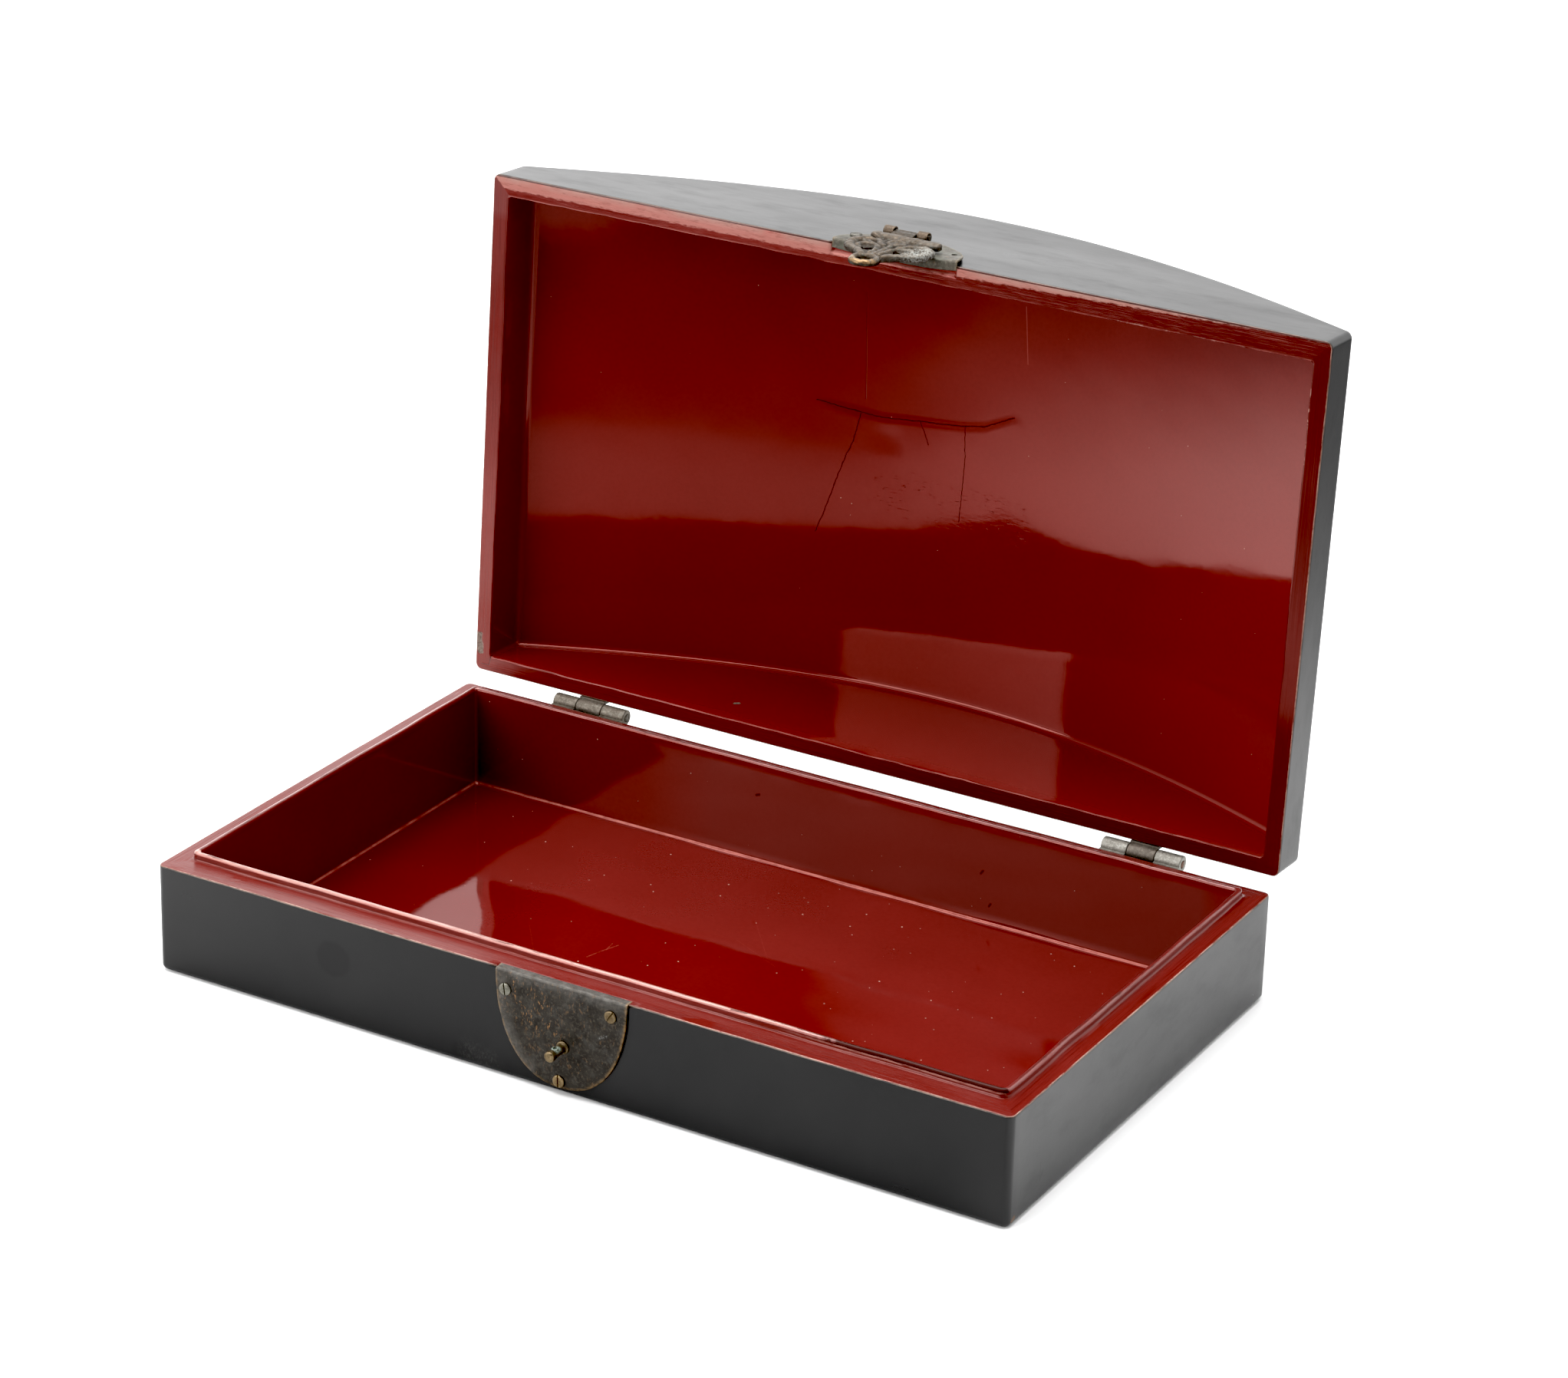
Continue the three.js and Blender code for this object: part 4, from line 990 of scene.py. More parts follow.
def screw(name, head_r, head_h, shank_r, shank_l, turn, slot_w, seed, tilt=0.0):
    R, H = head_r, head_h
    prof = [(0, -shank_l), (shank_r * 0.3, -shank_l + 0.5), (shank_r * 0.9, -shank_l + 2.0)]
    z = -shank_l + 2.6
    while z < -1.4:
        prof += [(shank_r * 0.86, z), (shank_r, z + 0.3), (shank_r * 0.86, z + 0.6)]
        z += 0.8
    prof += [(shank_r, -1.0), (shank_r, 0.06), (R - 0.15, 0.05), (R - 0.03, 0.12), (R, 0.24), (R, 0.48 * H), (0.985 * R, 0.62 * H),
             (0.95 * R, 0.74 * H), (0.87 * R, 0.86 * H), (0.74 * R, 0.94 * H), (0.5 * R, 0.985 * H), (0.25 * R, H), (0, H)]
    o = lathe(name, prof, 56)
    cut = block("cut", -1.3 * R, 1.3 * R, -slot_w / 2, slot_w / 2, H - 0.62, H + 1)
    boolean(o, cut)
    bevel(o, 0.07, 2, 50)
    rot2(o, turn)
    rough_up(o, seed, 0.018, 0.8, 4)
    p = coords(o)
    head = p[:, 2] > 0.02
    wear = np.clip((p[:, 2] - 0.55 * H) / (0.4 * H), 0, 1) * np.clip((np.hypot(p[:, 0], p[:, 1]) / R - 0.55) / 0.4, 0, 1)
    smooth_by_angle(o, 40)
    float_attr(o, "wear", np.where(head, wear, 0))
    return o


def seg_dist(p, pts, closed=False):
    """Distance of each 2-D point to a polyline, and where on it (0 to 1)."""
    pts = np.asarray(pts, float)
    a = pts if closed else pts[:-1]
    b = np.roll(pts, -1, 0) if closed else pts[1:]
    best = np.full(len(p), 1e9)
    where = np.zeros(len(p))
    for k in range(len(a)):
        ab = b[k] - a[k]
        l2 = float(ab @ ab)
        if l2 < 1e-12:
            continue
        t = np.clip(((p - a[k]) @ ab) / l2, 0, 1)
        d = np.hypot(*(p - a[k] - t[:, None] * ab).T)
        m = d < best
        best = np.where(m, d, best)
        where = np.where(m, (k + t) / len(a), where)
    return best, where


def bent_plate(name, cx, half_w, height, power, up, z_edge, seed, lift):
    """Half-moon sheet whose straight edge is folded over a rim. lift(x, d) moves it off the wood."""
    T, RO, FLANGE = 1.0, 1.15, 3.2
    y_out = -D2 - 0.1 - T
    nx = 84
    ts = np.linspace(math.pi, 0, nx + 1)
    us = np.cos(ts)
    cols = cx + half_w * us
    H = np.maximum(height * np.maximum(1 - np.abs(us) ** power, 0) ** (1 / power), RO + 1.0)
    y_in = -D2 + FLANGE
    flat = y_in - (y_out + RO)
    path = []        # outer (y, depth below the edge), normal (y, depth), developed length
    for q in (0, 0.04, 0.12, 0.35, 0.6, 0.85, 1.0):
        path.append((y_in - q * flat, 0.0, 0.0, -1.0, -(flat + RO * math.pi / 2) + q * flat))
    for i in range(1, 8):
        a = math.radians(90 * i / 7)
        path.append((y_out + RO - RO * math.sin(a), RO - RO * math.cos(a), -math.sin(a), -math.cos(a), -RO * (math.pi / 2 - a)))
    face = [0.02, 0.05] + list(np.linspace(0.09, 0.965, 36)) + [0.985, 0.995, 1.0]
    out, inn, dev = [], [], []
    for i, x in enumerate(cols):
        for y, d, ny, nd, s in path:
            out.append((x, y, d))
            inn.append((x, y - ny * T, d - nd * T))
            dev.append((x, s))
        for q in face:
            d = RO + q * (H[i] - RO)
            out.append((x, y_out, d))
            inn.append((x, y_out + T, d))
            dev.append((x, d - RO))
    out, inn, dev = np.array(out), np.array(inn), np.array(dev)
    rows = len(path) + len(face)
    smax = -(flat + RO * math.pi / 2)
    outline = [(cx - half_w, smax), (cx + half_w, smax)] + [(cols[i], H[i] - RO) for i in range(nx, -1, -1)]
    dist, _ = seg_dist(dev, outline, True)
    sink = lambda w, a: a * (1 - np.sqrt(np.maximum(1 - (1 - np.minimum(dist / w, 1)) ** 2, 0)))
    on_face = dev[:, 1] > 0
    bend = np.clip((dev[:, 1] + RO * math.pi / 2) / (RO * math.pi / 2), 0, 1)
    so, si = sink(0.4, 0.32), sink(0.3, 0.22)
    out[:, 1] += so * bend
    out[:, 2] += so * (1 - bend)
    inn[:, 1] -= si * bend
    inn[:, 2] -= si * (1 - bend)
    xz = np.stack([out[:, 0], out[:, 2]], 1)
    off = lift(out[:, 0], out[:, 2]) + 0.05 * (wobble(xz, seed, 8, 34) - 1) * bend
    for a in (out, inn):
        a[:, 1] -= np.maximum(off, -0.08)
    out[:, 1] += 0.02 * wobble(xz, seed + 1, 2.0, 6.0) * bend + 0.012 * bend
    out[:, 2] += (0.05 + 0.03 * wobble(out[:, :2], seed + 2, 2, 8)) * (1 - bend)
    edge_w = 0.06 * wobble(np.stack([dev[:, 0], dev[:, 1]], 1), seed + 3, 3, 16) - 0.06
    near = np.clip(1 - dist / 2, 0, 1)
    for a in (out, inn):
        a[:, 0] += edge_w * near * np.sign(a[:, 0] - cx)
    n = len(out)
    verts = np.vstack([out, inn])
    verts[:, 2] = z_edge + (verts[:, 2] if up else -verts[:, 2])
    faces = []
    for i in range(nx):
        for j in range(rows - 1):
            a, b, c, d = i * rows + j, (i + 1) * rows + j, (i + 1) * rows + j + 1, i * rows + j + 1
            faces.append((a, b, c, d))
            faces.append((n + d, n + c, n + b, n + a))
    edge = [i * rows for i in range(nx + 1)] + [nx * rows + j for j in range(1, rows)]
    edge += [i * rows + rows - 1 for i in range(nx - 1, -1, -1)] + [j for j in range(rows - 2, 0, -1)]
    for a, b in zip(edge, edge[1:] + edge[:1]):
        faces.append((a, n + a, n + b, b))
    o = new_object(name, verts, faces)
    outward(o)
    return o, dist


def edge_wear(o, width, outline_fn):
    p = coords(o)
    float_attr(o, "wear", np.clip(1 - outline_fn(p) / width, 0, 1))


def moon_outline(cx, half_w, height, power, up, z_edge):
    pts = []
    for i in range(61):
        t = math.pi * i / 60
        c, s_ = math.cos(t), math.sin(t)
        h = height * max(s_, 0) ** (2 / power)
        pts.append((cx + half_w * math.copysign(abs(c) ** (2 / power), c), z_edge + (h if up else -h)))
    return pts


def build_lock():
    bow = lambda x, d: 0.35 * np.clip((x - 14) / 15, 0, 1) ** 2 * np.clip(d / 14, 0, 1) * np.clip((46 - d) / 20, 0.3, 1)
    o, _ = bent_plate("lock_plate_sheet", -0.5, 29.3, 43.3, 2.25, False, BASE_H, 101, bow)
    for x, z, r in ((-25.2, 37.6, 1.4), (21.8, 39.0, 1.4), (-1.0, 5.3, 1.4), (0.8, 20.2, 1.8)):
        c = lathe("cut", [(0, -3), (r, -3), (r, 3), (0, 3)], 32)
        turned(c, FRONT, (x, -D2 - 0.6, z))
        boolean(o, c)
    smooth_by_angle(o, 50)
    outl = moon_outline(-0.5, 29.3, 43.3, 2.25, False, BASE_H)
    edge_wear(o, 1.3, lambda p: seg_dist(p[:, [0, 2]], outl)[0])
    place(o, "base", "base", [LOCK_BRONZE], ["lock_plate"])
    for name, x, z, turn, w, mat, lift in (
            ("left", -25.2, 37.6, math.radians(98), 0.62, SCREW_GREY, 0.0),
            ("right", 21.8, 39.0, math.radians(58), 0.62, SCREW_DARK, 0.12),
            ("bottom", -1.0, 5.3, math.radians(92), 0.72, SCREW_BRASS, 0.0)):
        s_ = screw("lock_plate_slotted_screw_" + name, 2.55, 0.85, 1.2, 7, turn, w, 200 + int(x))
        turned(s_, FRONT, (x, -D2 - 1.06 - lift, z))
        place(s_, "base", "base", [mat], ["lock_plate_screw_" + name])
    # stud with a cross hole
    L = 10.0
    prof = [(0, -8), (1.4, -8), (1.6, -7.8), (1.6, 0.05), (2.35, 0.05), (2.62, 0.16), (2.7, 0.4), (2.62, 0.62), (2.35, 0.78), (2.05, 0.86),
            (1.92, 1.1), (1.86, 1.8), (1.84, 3.0), (1.83, 4.2), (1.85, 5.4), (1.87, 6.4), (1.92, 6.9), (2.08, 7.15), (2.16, 7.4), (2.18, 8.2),
            (2.17, 9.26), (2.13, 9.56), (2.03, 9.75), (1.86, 9.86), (1.2, 9.91), (0.5, 9.93), (0, 9.93)]
    st = lathe("lock_stud_turned", prof, 64)
    burr = []
    for i in range(28):
        for j in range(12):
            a, b = 2 * math.pi * i / 28, 2 * math.pi * j / 12
            rr = 1.02 + 0.30 * math.cos(b)
            burr.append((rr * math.cos(a), 1.72 + 0.42 * math.sin(b) + 0.1 * math.cos(2 * a), 5.4 + rr * math.sin(a)))
    bf = [(i * 12 + j, ((i + 1) % 28) * 12 + j, ((i + 1) % 28) * 12 + (j + 1) % 12, i * 12 + (j + 1) % 12) for i in range(28) for j in range(12)]
    bo = new_object("cut", burr, bf)
    outward(bo)
    boolean(st, bo, "UNION")
    c = lathe("cut", [(0, -4), (0.9, -4), (0.9, 4), (0, 4)], 28)
    turned(c, ((1, 0, 0), (0, 0, 1), (0, 1, 0)), (0, 0, 5.4))
    boolean(st, c)
    rough_up(st, 260, 0.03, 0.9, 5)
    smooth_by_angle(st, 42)
    p = coords(st)
    float_attr(st, "wear", np.clip((p[:, 2] - 9.0) / 0.8, 0, 1))
    turned(st, FRONT, (0.8, -D2 - 1.1, 20.2))
    place(st, "base", "base", [STUD_BRASS], ["lock_stud"])


def rounded_leaf(name, x0, x1, y0, y1, z_near, z_far, r):
    """Leaf plate: square at the barrel, rounded at the far corners, all edges eased."""
    sgn = 1 if z_far > z_near else -1
    pts = [(x0, z_near), (x1, z_near)]
    for i in range(7):
        a = math.radians(15 * i)
        pts.append((x1 - r + r * math.cos(a), z_far - sgn * (r - r * math.sin(a))))
    for i in range(7):
        a = math.radians(90 + 15 * i)
        pts.append((x0 + r + r * math.cos(a), z_far - sgn * (r - r * math.sin(a))))
    n = len(pts)
    v = [(x, y0, z) for x, z in pts] + [(x, y1, z) for x, z in pts]
    f = [tuple(range(n)), tuple(range(2 * n - 1, n - 1, -1))] + [(i, i + n, (i + 1) % n + n, (i + 1) % n) for i in range(n)]
    o = new_object(name, v, f)
    outward(o)
    bm = bmesh.new()
    bm.from_mesh(o.data)
    es = [e for e in bm.edges if e.calc_face_angle(0) > math.radians(60)]
    bmesh.ops.bevel(bm, geom=es, offset=0.2, segments=2, profile=0.6, affect="EDGES", clamp_overlap=True)
    bm.to_mesh(o.data)
    bm.free()
    return o


def knuckle(name, x0, x1, seam, seed):
    n = 56
    RK, RB = 3.5, 1.65
    loop = [(x0, RB + 0.08), (x0 - 0.0, 2.4), (x0, RK - 0.42), (x0 + 0.05, RK - 0.22), (x0 + 0.16, RK - 0.07), (x0 + 0.34, RK)]
    k = max(3, int((x1 - x0) / 1.1))
    loop += [(x0 + 0.34 + (x1 - x0 - 0.68) * i / k, RK) for i in range(1, k)]
    loop += [(x1 - 0.34, RK), (x1 - 0.16, RK - 0.07), (x1 - 0.05, RK - 0.22), (x1, RK - 0.42), (x1, 2.4), (x1, RB + 0.08)]
    loop += [(x1 - 0.1, RB), (x1 - 0.5 * (x1 - x0), RB), (x0 + 0.1, RB)]
    verts, m = [], len(loop)
    for i in range(n):
        a = 2 * math.pi * i / n
        g = abs((a - seam + math.pi) % (2 * math.pi) - math.pi)
        for x, r in loop:
            rr = r - (0.55 if r > 3 and g < 0.06 else 0.0)
            verts.append((x, AY + rr * math.cos(a), AZ + rr * math.sin(a)))
    v = np.array(verts)
    rad = np.hypot(v[:, 1] - AY, v[:, 2] - AZ)
    grow = np.where(rad > 2.9, 0.035 * (wobble(v, seed, 1.8, 9) - 1.0), 0)
    v[:, 1] += grow * (v[:, 1] - AY) / rad
    v[:, 2] += grow * (v[:, 2] - AZ) / rad
    f = [(i * m + j, ((i + 1) % n) * m + j, ((i + 1) % n) * m + (j + 1) % m, i * m + (j + 1) % m) for i in range(n) for j in range(m)]
    o = new_object(name, v, f)
    outward(o)
    return o


def build_hinge(side, hx, mats, seed):
    half, mid = 17.5, 6.1
    y0, y1 = D2 + 0.12, D2 + 1.42
    # base leaf with the outer knuckles
    lo = rounded_leaf("hinge_%s_base_leaf_rolled" % side, hx - half, hx + half, y0, y1, AZ, AZ - 22, 4)
    boolean(lo, block("cut", hx - mid - 0.35, hx + mid + 0.35, D2 - 1, D2 + 4, AZ - 4.3, AZ + 2))
    sleeve = lambda: turned(lathe("cut", [(0, -half - 1), (1.65, -half - 1), (1.65, half + 1), (0, half + 1)], 40), ((0, 1, 0), (0, 0, 1), (1, 0, 0)), (hx, AY, AZ))
    boolean(lo, knuckle("cut", hx - half, hx - mid - 0.15, math.radians(228), seed), "UNION")
    boolean(lo, knuckle("cut", hx + mid + 0.15, hx + half, math.radians(228), seed + 1), "UNION")
    for dx in (-10.5, 10.5):
        boolean(lo, turned(lathe("cut", [(0, -3), (1.3, -3), (1.3, 3), (0, 3)], 28), BACK, (hx + dx, D2 + 0.8, AZ - 12.5)))
    up_ = rounded_leaf("hinge_%s_lid_leaf_rolled" % side, hx - half, hx + half, y0, y1, AZ, AZ + 22, 4)
    boolean(up_, block("cut", hx - half - 1, hx - mid, D2 - 1, D2 + 4, AZ - 2, AZ + 4.3))
    boolean(up_, block("cut", hx + mid, hx + half + 1, D2 - 1, D2 + 4, AZ - 2, AZ + 4.3))
    boolean(up_, knuckle("cut", hx - mid, hx + mid, math.radians(132), seed + 2), "UNION")
    for dx in (-10.5, 10.5):
        boolean(up_, turned(lathe("cut", [(0, -3), (1.3, -3), (1.3, 3), (0, 3)], 28), BACK, (hx + dx, D2 + 0.8, AZ + 12.5)))
    for o, group, body, node, mat in ((lo, "base", "base", "base_leaf", mats[0]), (up_, "lid", "lid", "lid_leaf", mats[1])):
        boolean(o, sleeve())
        smooth_by_angle(o, 38)
        p = coords(o)
        ends = np.minimum(np.abs(p[:, 0] - (hx - half)), np.abs(p[:, 0] - (hx + half)))
        float_attr(o, "wear", np.clip(1 - ends / 0.7, 0, 1))
        place(o, group, body, [mat], ["hinge_%s_%s" % (side, node)])
    # pin with eased, slightly peened ends
    a, b = -half + 0.12, half + 0.2
    prof = [(0, a), (0.9, a + 0.02), (1.3, a + 0.1), (1.5, a + 0.28), (1.58, a + 0.5)] + [(1.58, a + 0.5 + (b - a - 1.0) * i / 8) for i in range(1, 8)]
    prof += [(1.58, b - 0.5), (1.5, b - 0.26), (1.3, b - 0.1), (0.8, b - 0.02), (0, b)]
    pin = lathe("hinge_%s_turned_pin" % side, prof, 40)
    turned(pin, ((0, 1, 0), (0, 0, 1), (1, 0, 0)), (hx, AY, AZ))
    smooth_by_angle(pin, 50)
    float_attr(pin, "wear", np.zeros(len(pin.data.vertices)))
    place(pin, "base", "base", [mats[2]], ["hinge_%s_pin" % side])
    for j, dx in enumerate((-10.5, 10.5)):
        s_ = screw("hinge_%s_base_slotted_screw_%d" % (side, j + 1), 2.3, 0.7, 1.05, 5.6, 0.4 + j, 0.55, seed + 10 + j)
        turned(s_, BACK, (hx + dx, D2 + 1.42, AZ - 12.5))
        place(s_, "base", "base", [SCREW_BRASS], ["hinge_%s_base_screw_%d" % (side, j + 1)])
        s_ = screw("hinge_%s_lid_slotted_screw_%d" % (side, j + 1), 2.3, 0.7, 1.05, 5.6, 1.1 + j, 0.55, seed + 20 + j)
        turned(s_, BACK, (hx + dx, D2 + 1.42, AZ + 12.5))
        place(s_, "lid", "lid", [SCREW_BRASS], ["hinge_%s_lid_screw_%d" % (side, j + 1)])


def catmull(pts, steps, closed=False):
    pts = [np.array(p, float) for p in pts]
    n = len(pts)
    out = []
    rng_ = range(n if closed else n - 1)
    for i in rng_:
        p1, p2 = pts[i], pts[(i + 1) % n]
        p0 = pts[(i - 1) % n] if closed or i > 0 else 2 * p1 - p2
        p3 = pts[(i + 2) % n] if closed or i + 2 < n else 2 * p2 - p1
        for k in range(steps):
            t = k / steps
            out.append(0.5 * ((2 * p1) + (-p0 + p2) * t + (2 * p0 - 5 * p1 + 4 * p2 - p3) * t * t + (-p0 + 3 * p1 - 3 * p2 + p3) * t ** 3))
    if not closed:
        out.append(pts[-1])
    return out


def build_hasp_plate():
    def bow(x, d):
        right = np.clip((x - 13) / 15, 0, 1) ** 1.4 * 1.25
        left = np.clip((-x - 15) / 13, 0, 1) ** 1.4 * 0.8
        return (right + left) * np.clip(1.15 - d / 26, 0.2, 1)
    o, _ = bent_plate("hasp_plate_sheet", 0.0, 28.3, 24.5, 2.0, True, LID_Z, 131, bow)
    for x in (-11.8, 3.4):
        boolean(o, block("cut", x - 2.45, x + 2.45, -D2 - 4, -D2 + 1, LID_Z + 18.4 - 1.0, LID_Z + 18.4 + 1.0))
    for x, h, r in ((-22.6, 9.6, 1.4), (21.6, 10.6, 1.3)):
        c = lathe("cut", [(0, -3.4), (r, -3.4), (r, 3.4), (0, 3.4)], 30)
        turned(c, FRONT, (x, -D2 - 1.4, LID_Z + h))
        boolean(o, c)
    # a notch torn at the empty hole
    boolean(o, turned(rot2(block("cut", -0.3, 3.0, -0.35, 0.35, -3.4, 3.4), 0.5), FRONT, (21.6, -D2 - 1.4, LID_Z + 10.6)))
    smooth_by_angle(o, 50)
    outl = moon_outline(0, 28.3, 24.5, 2.0, True, LID_Z)
    edge_wear(o, 1.2, lambda p: seg_dist(p[:, [0, 2]], outl)[0])
    place(o, "lid", "lid", [HASP_PLATE_BRONZE], ["hasp_plate"])
    s_ = screw("hasp_plate_domed_screw", 2.5, 1.35, 1.15, 6, 0.5, 0.5, 280)
    turned(s_, FRONT, (-22.6, -D2 - 1.25, LID_Z + 9.6))
    place(s_, "lid", "lid", [SCREW_DULL], ["hasp_plate_screw"])


def build_loops():
    for side, x in (("left", -11.8), ("right", 3.4)):
        cy, cz = BAR_Y, BAR_Z
        path = [(-D2 + 6.0, 0.42), (-D2 + 3.0, 0.42), (-D2 + 0.6, 0.43), (cy + 2.35, 0.55)]
        for i in range(0, 25):
            a = math.radians(36 + i * 288 / 24)
            path.append((cy + 2.02 * math.cos(a), 2.02 * math.sin(a)))
        path += [(cy + 2.35, -0.55), (-D2 + 0.6, -0.43), (-D2 + 3.0, -0.42), (-D2 + 6.0, -0.42)]
        path = catmull(path, 3)
        n = len(path)
        P = np.array(path)
        tng = np.gradient(P, axis=0)
        tng /= np.linalg.norm(tng, axis=1)[:, None]
        nrm = np.stack([tng[:, 1], -tng[:, 0]], 1)
        w, t = 4.5 / 2, 0.37
        sec = [(-w + 0.12, t), (-w / 2, t), (0, t), (w / 2, t), (w - 0.12, t), (w, t - 0.12), (w, -t + 0.1), (w - 0.1, -t), (0, -t), (-w + 0.1, -t), (-w, -t + 0.1), (-w, t - 0.12)]
        verts = []
        rng = np.random.default_rng(300 + int(x))
        for i in range(n):
            flare = 1 + 0.02 * math.sin(i * 0.37 + x)
            for a, b in sec:
                verts.append((x + a * flare, P[i, 0] + nrm[i, 0] * b, cz + P[i, 1] + nrm[i, 1] * b))
        m = len(sec)
        faces = [(i * m + j, i * m + (j + 1) % m, (i + 1) * m + (j + 1) % m, (i + 1) * m + j) for i in range(n - 1) for j in range(m)]
        faces += [tuple(range(m - 1, -1, -1)), tuple((n - 1) * m + j for j in range(m))]
        o = new_object("hasp_loop_%s_curled_strip" % side, verts, faces)
        outward(o)
        rough_up(o, 310 + int(x), 0.03, 1.2, 6)
        smooth_by_angle(o, 45)
        p = coords(o)
        float_attr(o, "wear", np.clip((np.abs(p[:, 0] - x) - 1.9) / 0.35, 0, 1))
        place(o, "lid", "lid", [LOOP_BRASS], ["hasp_loop_" + side])


def build_hasp():
    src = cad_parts["hasp"]
    n = len(src.data.vertices)
    a = np.zeros(n * 3)
    src.data.vertices.foreach_get("co", a)
    p = np.array([src.matrix_world @ Vector(v) for v in a.reshape(-1, 3)]) / MM
    # from rest back to the hasp's own axes
    y, z = p[:, 1] - AY, p[:, 2] - AZ
    cl = np.stack([p[:, 0], AY + CO * y - SO * z, AZ + SO * y + CO * z], 1)
    c, s_ = math.cos(DROOP), math.sin(DROOP)
    y, z = cl[:, 1] - BAR_Y, cl[:, 2] - BAR_Z
    lo = np.stack([cl[:, 0], c * y + s_ * z, -s_ * y + c * z], 1)
    faces = [tuple(f.vertices) for f in src.data.polygons]
    o = new_object("hasp_cast_cloud", lo, faces)
    bm = bmesh.new()
    bm.from_mesh(o.data)
    bmesh.ops.remove_doubles(bm, verts=bm.verts, dist=1e-4)
    bm.to_mesh(o.data)
    bm.free()
    outward(o)
    m = o.modifiers.new("r", "REMESH")
    m.mode = "VOXEL"
    m.voxel_size = 0.27
    m.adaptivity = 0.0
    applied(o)
    m = o.modifiers.new("s", "SMOOTH")
    m.factor = 0.5
    m.iterations = 3
    applied(o)
    p = coords(o)
    BX = 0.8
    x, d, h = p[:, 0] - BX, -p[:, 2], -p[:, 1]
    q = np.stack([x, d], 1)
    half = [(5.0, 6.9), (10.5, 6.6), (14.2, 7.3), (15.9, 9.4), (15.0, 11.9), (11.6, 12.9), (9.6, 14.6), (10.6, 16.4),
            (13.2, 15.4), (16.4, 16.4), (18.4, 20.2), (18.7, 25.4), (16.9, 30.4), (13.4, 33.9), (9.6, 36.2), (7.2, 38.6)]
    ring_pts = [(6.3 * math.cos(math.radians(30 - i * 20)), 44.1 - 6.3 * math.sin(math.radians(30 - i * 20))) for i in range(13)]
    outl = catmull(half + ring_pts + [(-a_, b_) for a_, b_ in reversed(half)], 6, True)
    dist, _ = seg_dist(q, outl, True)
    holes = []
    for sx in (-1, 1):
        cx_, cd_, rx, rd, tn = 6.6 * sx, 29.6, 1.7, 2.9, -0.6 * sx
        ca, sa = math.cos(tn), math.sin(tn)
        lx, ld = (x - cx_) * ca - (d - cd_) * sa, (x - cx_) * sa + (d - cd_) * ca
        holes.append((np.hypot(lx / rx, ld / rd) - 1) * 0.5 * (rx + rd))
    hole_d = np.minimum(np.abs(holes[0]), np.abs(holes[1]))
    rr = np.hypot(x, d - 44.1)

    def stroke(pts, radius, top, soft=1.0):
        """A raised rounded cord along a curve; gives its height profile."""
        c_ = catmull(pts, 8)
        dd, w = seg_dist(q, c_)
        return top * np.sqrt(np.maximum(1 - (dd / radius) ** 2, 0)) ** soft

    relief = np.full(len(x), 0.15)
    for sx in (-1, 1):
        f = lambda pts: [(sx * a_, b_) for a_, b_ in pts]
        relief = np.maximum(relief, stroke(f([(11.0, 17.0), (13.2, 17.4), (15.6, 19.6), (16.5, 23.0), (16.3, 26.6), (14.9, 30.0), (12.2, 32.7), (8.8, 34.8), (6.0, 37.6), (4.4, 40.6)]), 2.3, 1.55))
        relief = np.maximum(relief, stroke(f([(2.2, 36.4), (2.4, 32.6), (3.0, 29.0), (4.6, 25.6), (7.6, 23.7), (10.7, 24.4), (12.1, 27.0), (11.3, 29.8), (9.4, 31.0)]), 1.45, 1.35))
        relief = np.maximum(relief, stroke(f([(10.6, 16.6), (8.2, 17.6), (6.4, 19.4), (5.2, 21.6), (3.4, 22.6)]), 1.5, 1.25))
        relief = np.maximum(relief, stroke(f([(13.0, 20.2), (11.0, 20.4), (9.6, 21.4)]), 1.1, 1.0))
    relief = np.maximum(relief, stroke([(0, 14.6), (-2.6, 16.2), (-3.2, 18.6), (-1.6, 20.4), (0, 21.4), (1.6, 20.4), (3.2, 18.6), (2.6, 16.2), (0, 14.6)], 1.2, 1.3))
    relief = np.maximum(relief, 1.35 * np.exp(-((x / 2.6) ** 2 + ((d - 18.0) / 2.8) ** 2)))
    relief = np.maximum(relief, stroke([(0, 22.0), (0, 27.0), (0, 33.0), (0, 38.5)], 1.5, 1.2))
    # shoulders: a thick cross bar
    sh = np.clip(1 - np.abs(d - 9.7) / 3.4, 0, 1)
    relief = np.maximum(relief, 1.6 * np.sqrt(np.clip(1 - (1 - sh) ** 2, 0, 1)) * (np.abs(x) < 16.5) * (d < 14))
    # ring: a full round
    ring_h = 1.45 * np.sqrt(np.maximum(1 - ((rr - 4.85) / 1.5) ** 2, 0.02))
    relief = np.where(rr < 6.6, np.maximum(ring_h, np.where(d < 40, relief * 0.7, 0)), relief)
    edge = 0.30 + 1.4 * np.sqrt(1 - (1 - np.clip(dist / 1.5, 0, 1)) ** 2)
    edge_hole = 0.35 + 1.35 * np.sqrt(1 - (1 - np.clip(hole_d / 1.0, 0, 1)) ** 2)
    top = np.minimum(np.minimum(relief + 0.12, edge), edge_hole)
    bumps = 0.14 * wobble(q, 411, 1.6, 7, 20)
    right_lobe = np.exp(-(((x - 14.5) / 5) ** 2 + ((d - 25) / 8.5) ** 2))
    bumps += right_lobe * (0.26 * wobble(q, 412, 1.1, 3.2, 24))
    top = np.clip(top + bumps, 0.1, 1.66)
    body = np.clip((d - 3.0) / 3.5, 0, 1)
    k = 1 + body * (top / 1.7 - 1)
    h2 = np.where(h > 0, h * k, h)
    under = 0.55 + 0.45 * np.sqrt(1 - (1 - np.clip(dist / 1.2, 0, 1)) ** 2)
    h2 = np.where(h < 0, h * (1 + body * (under * (0.93 + 0.05 * wobble(q, 413, 4, 15)) - 1)), h2)
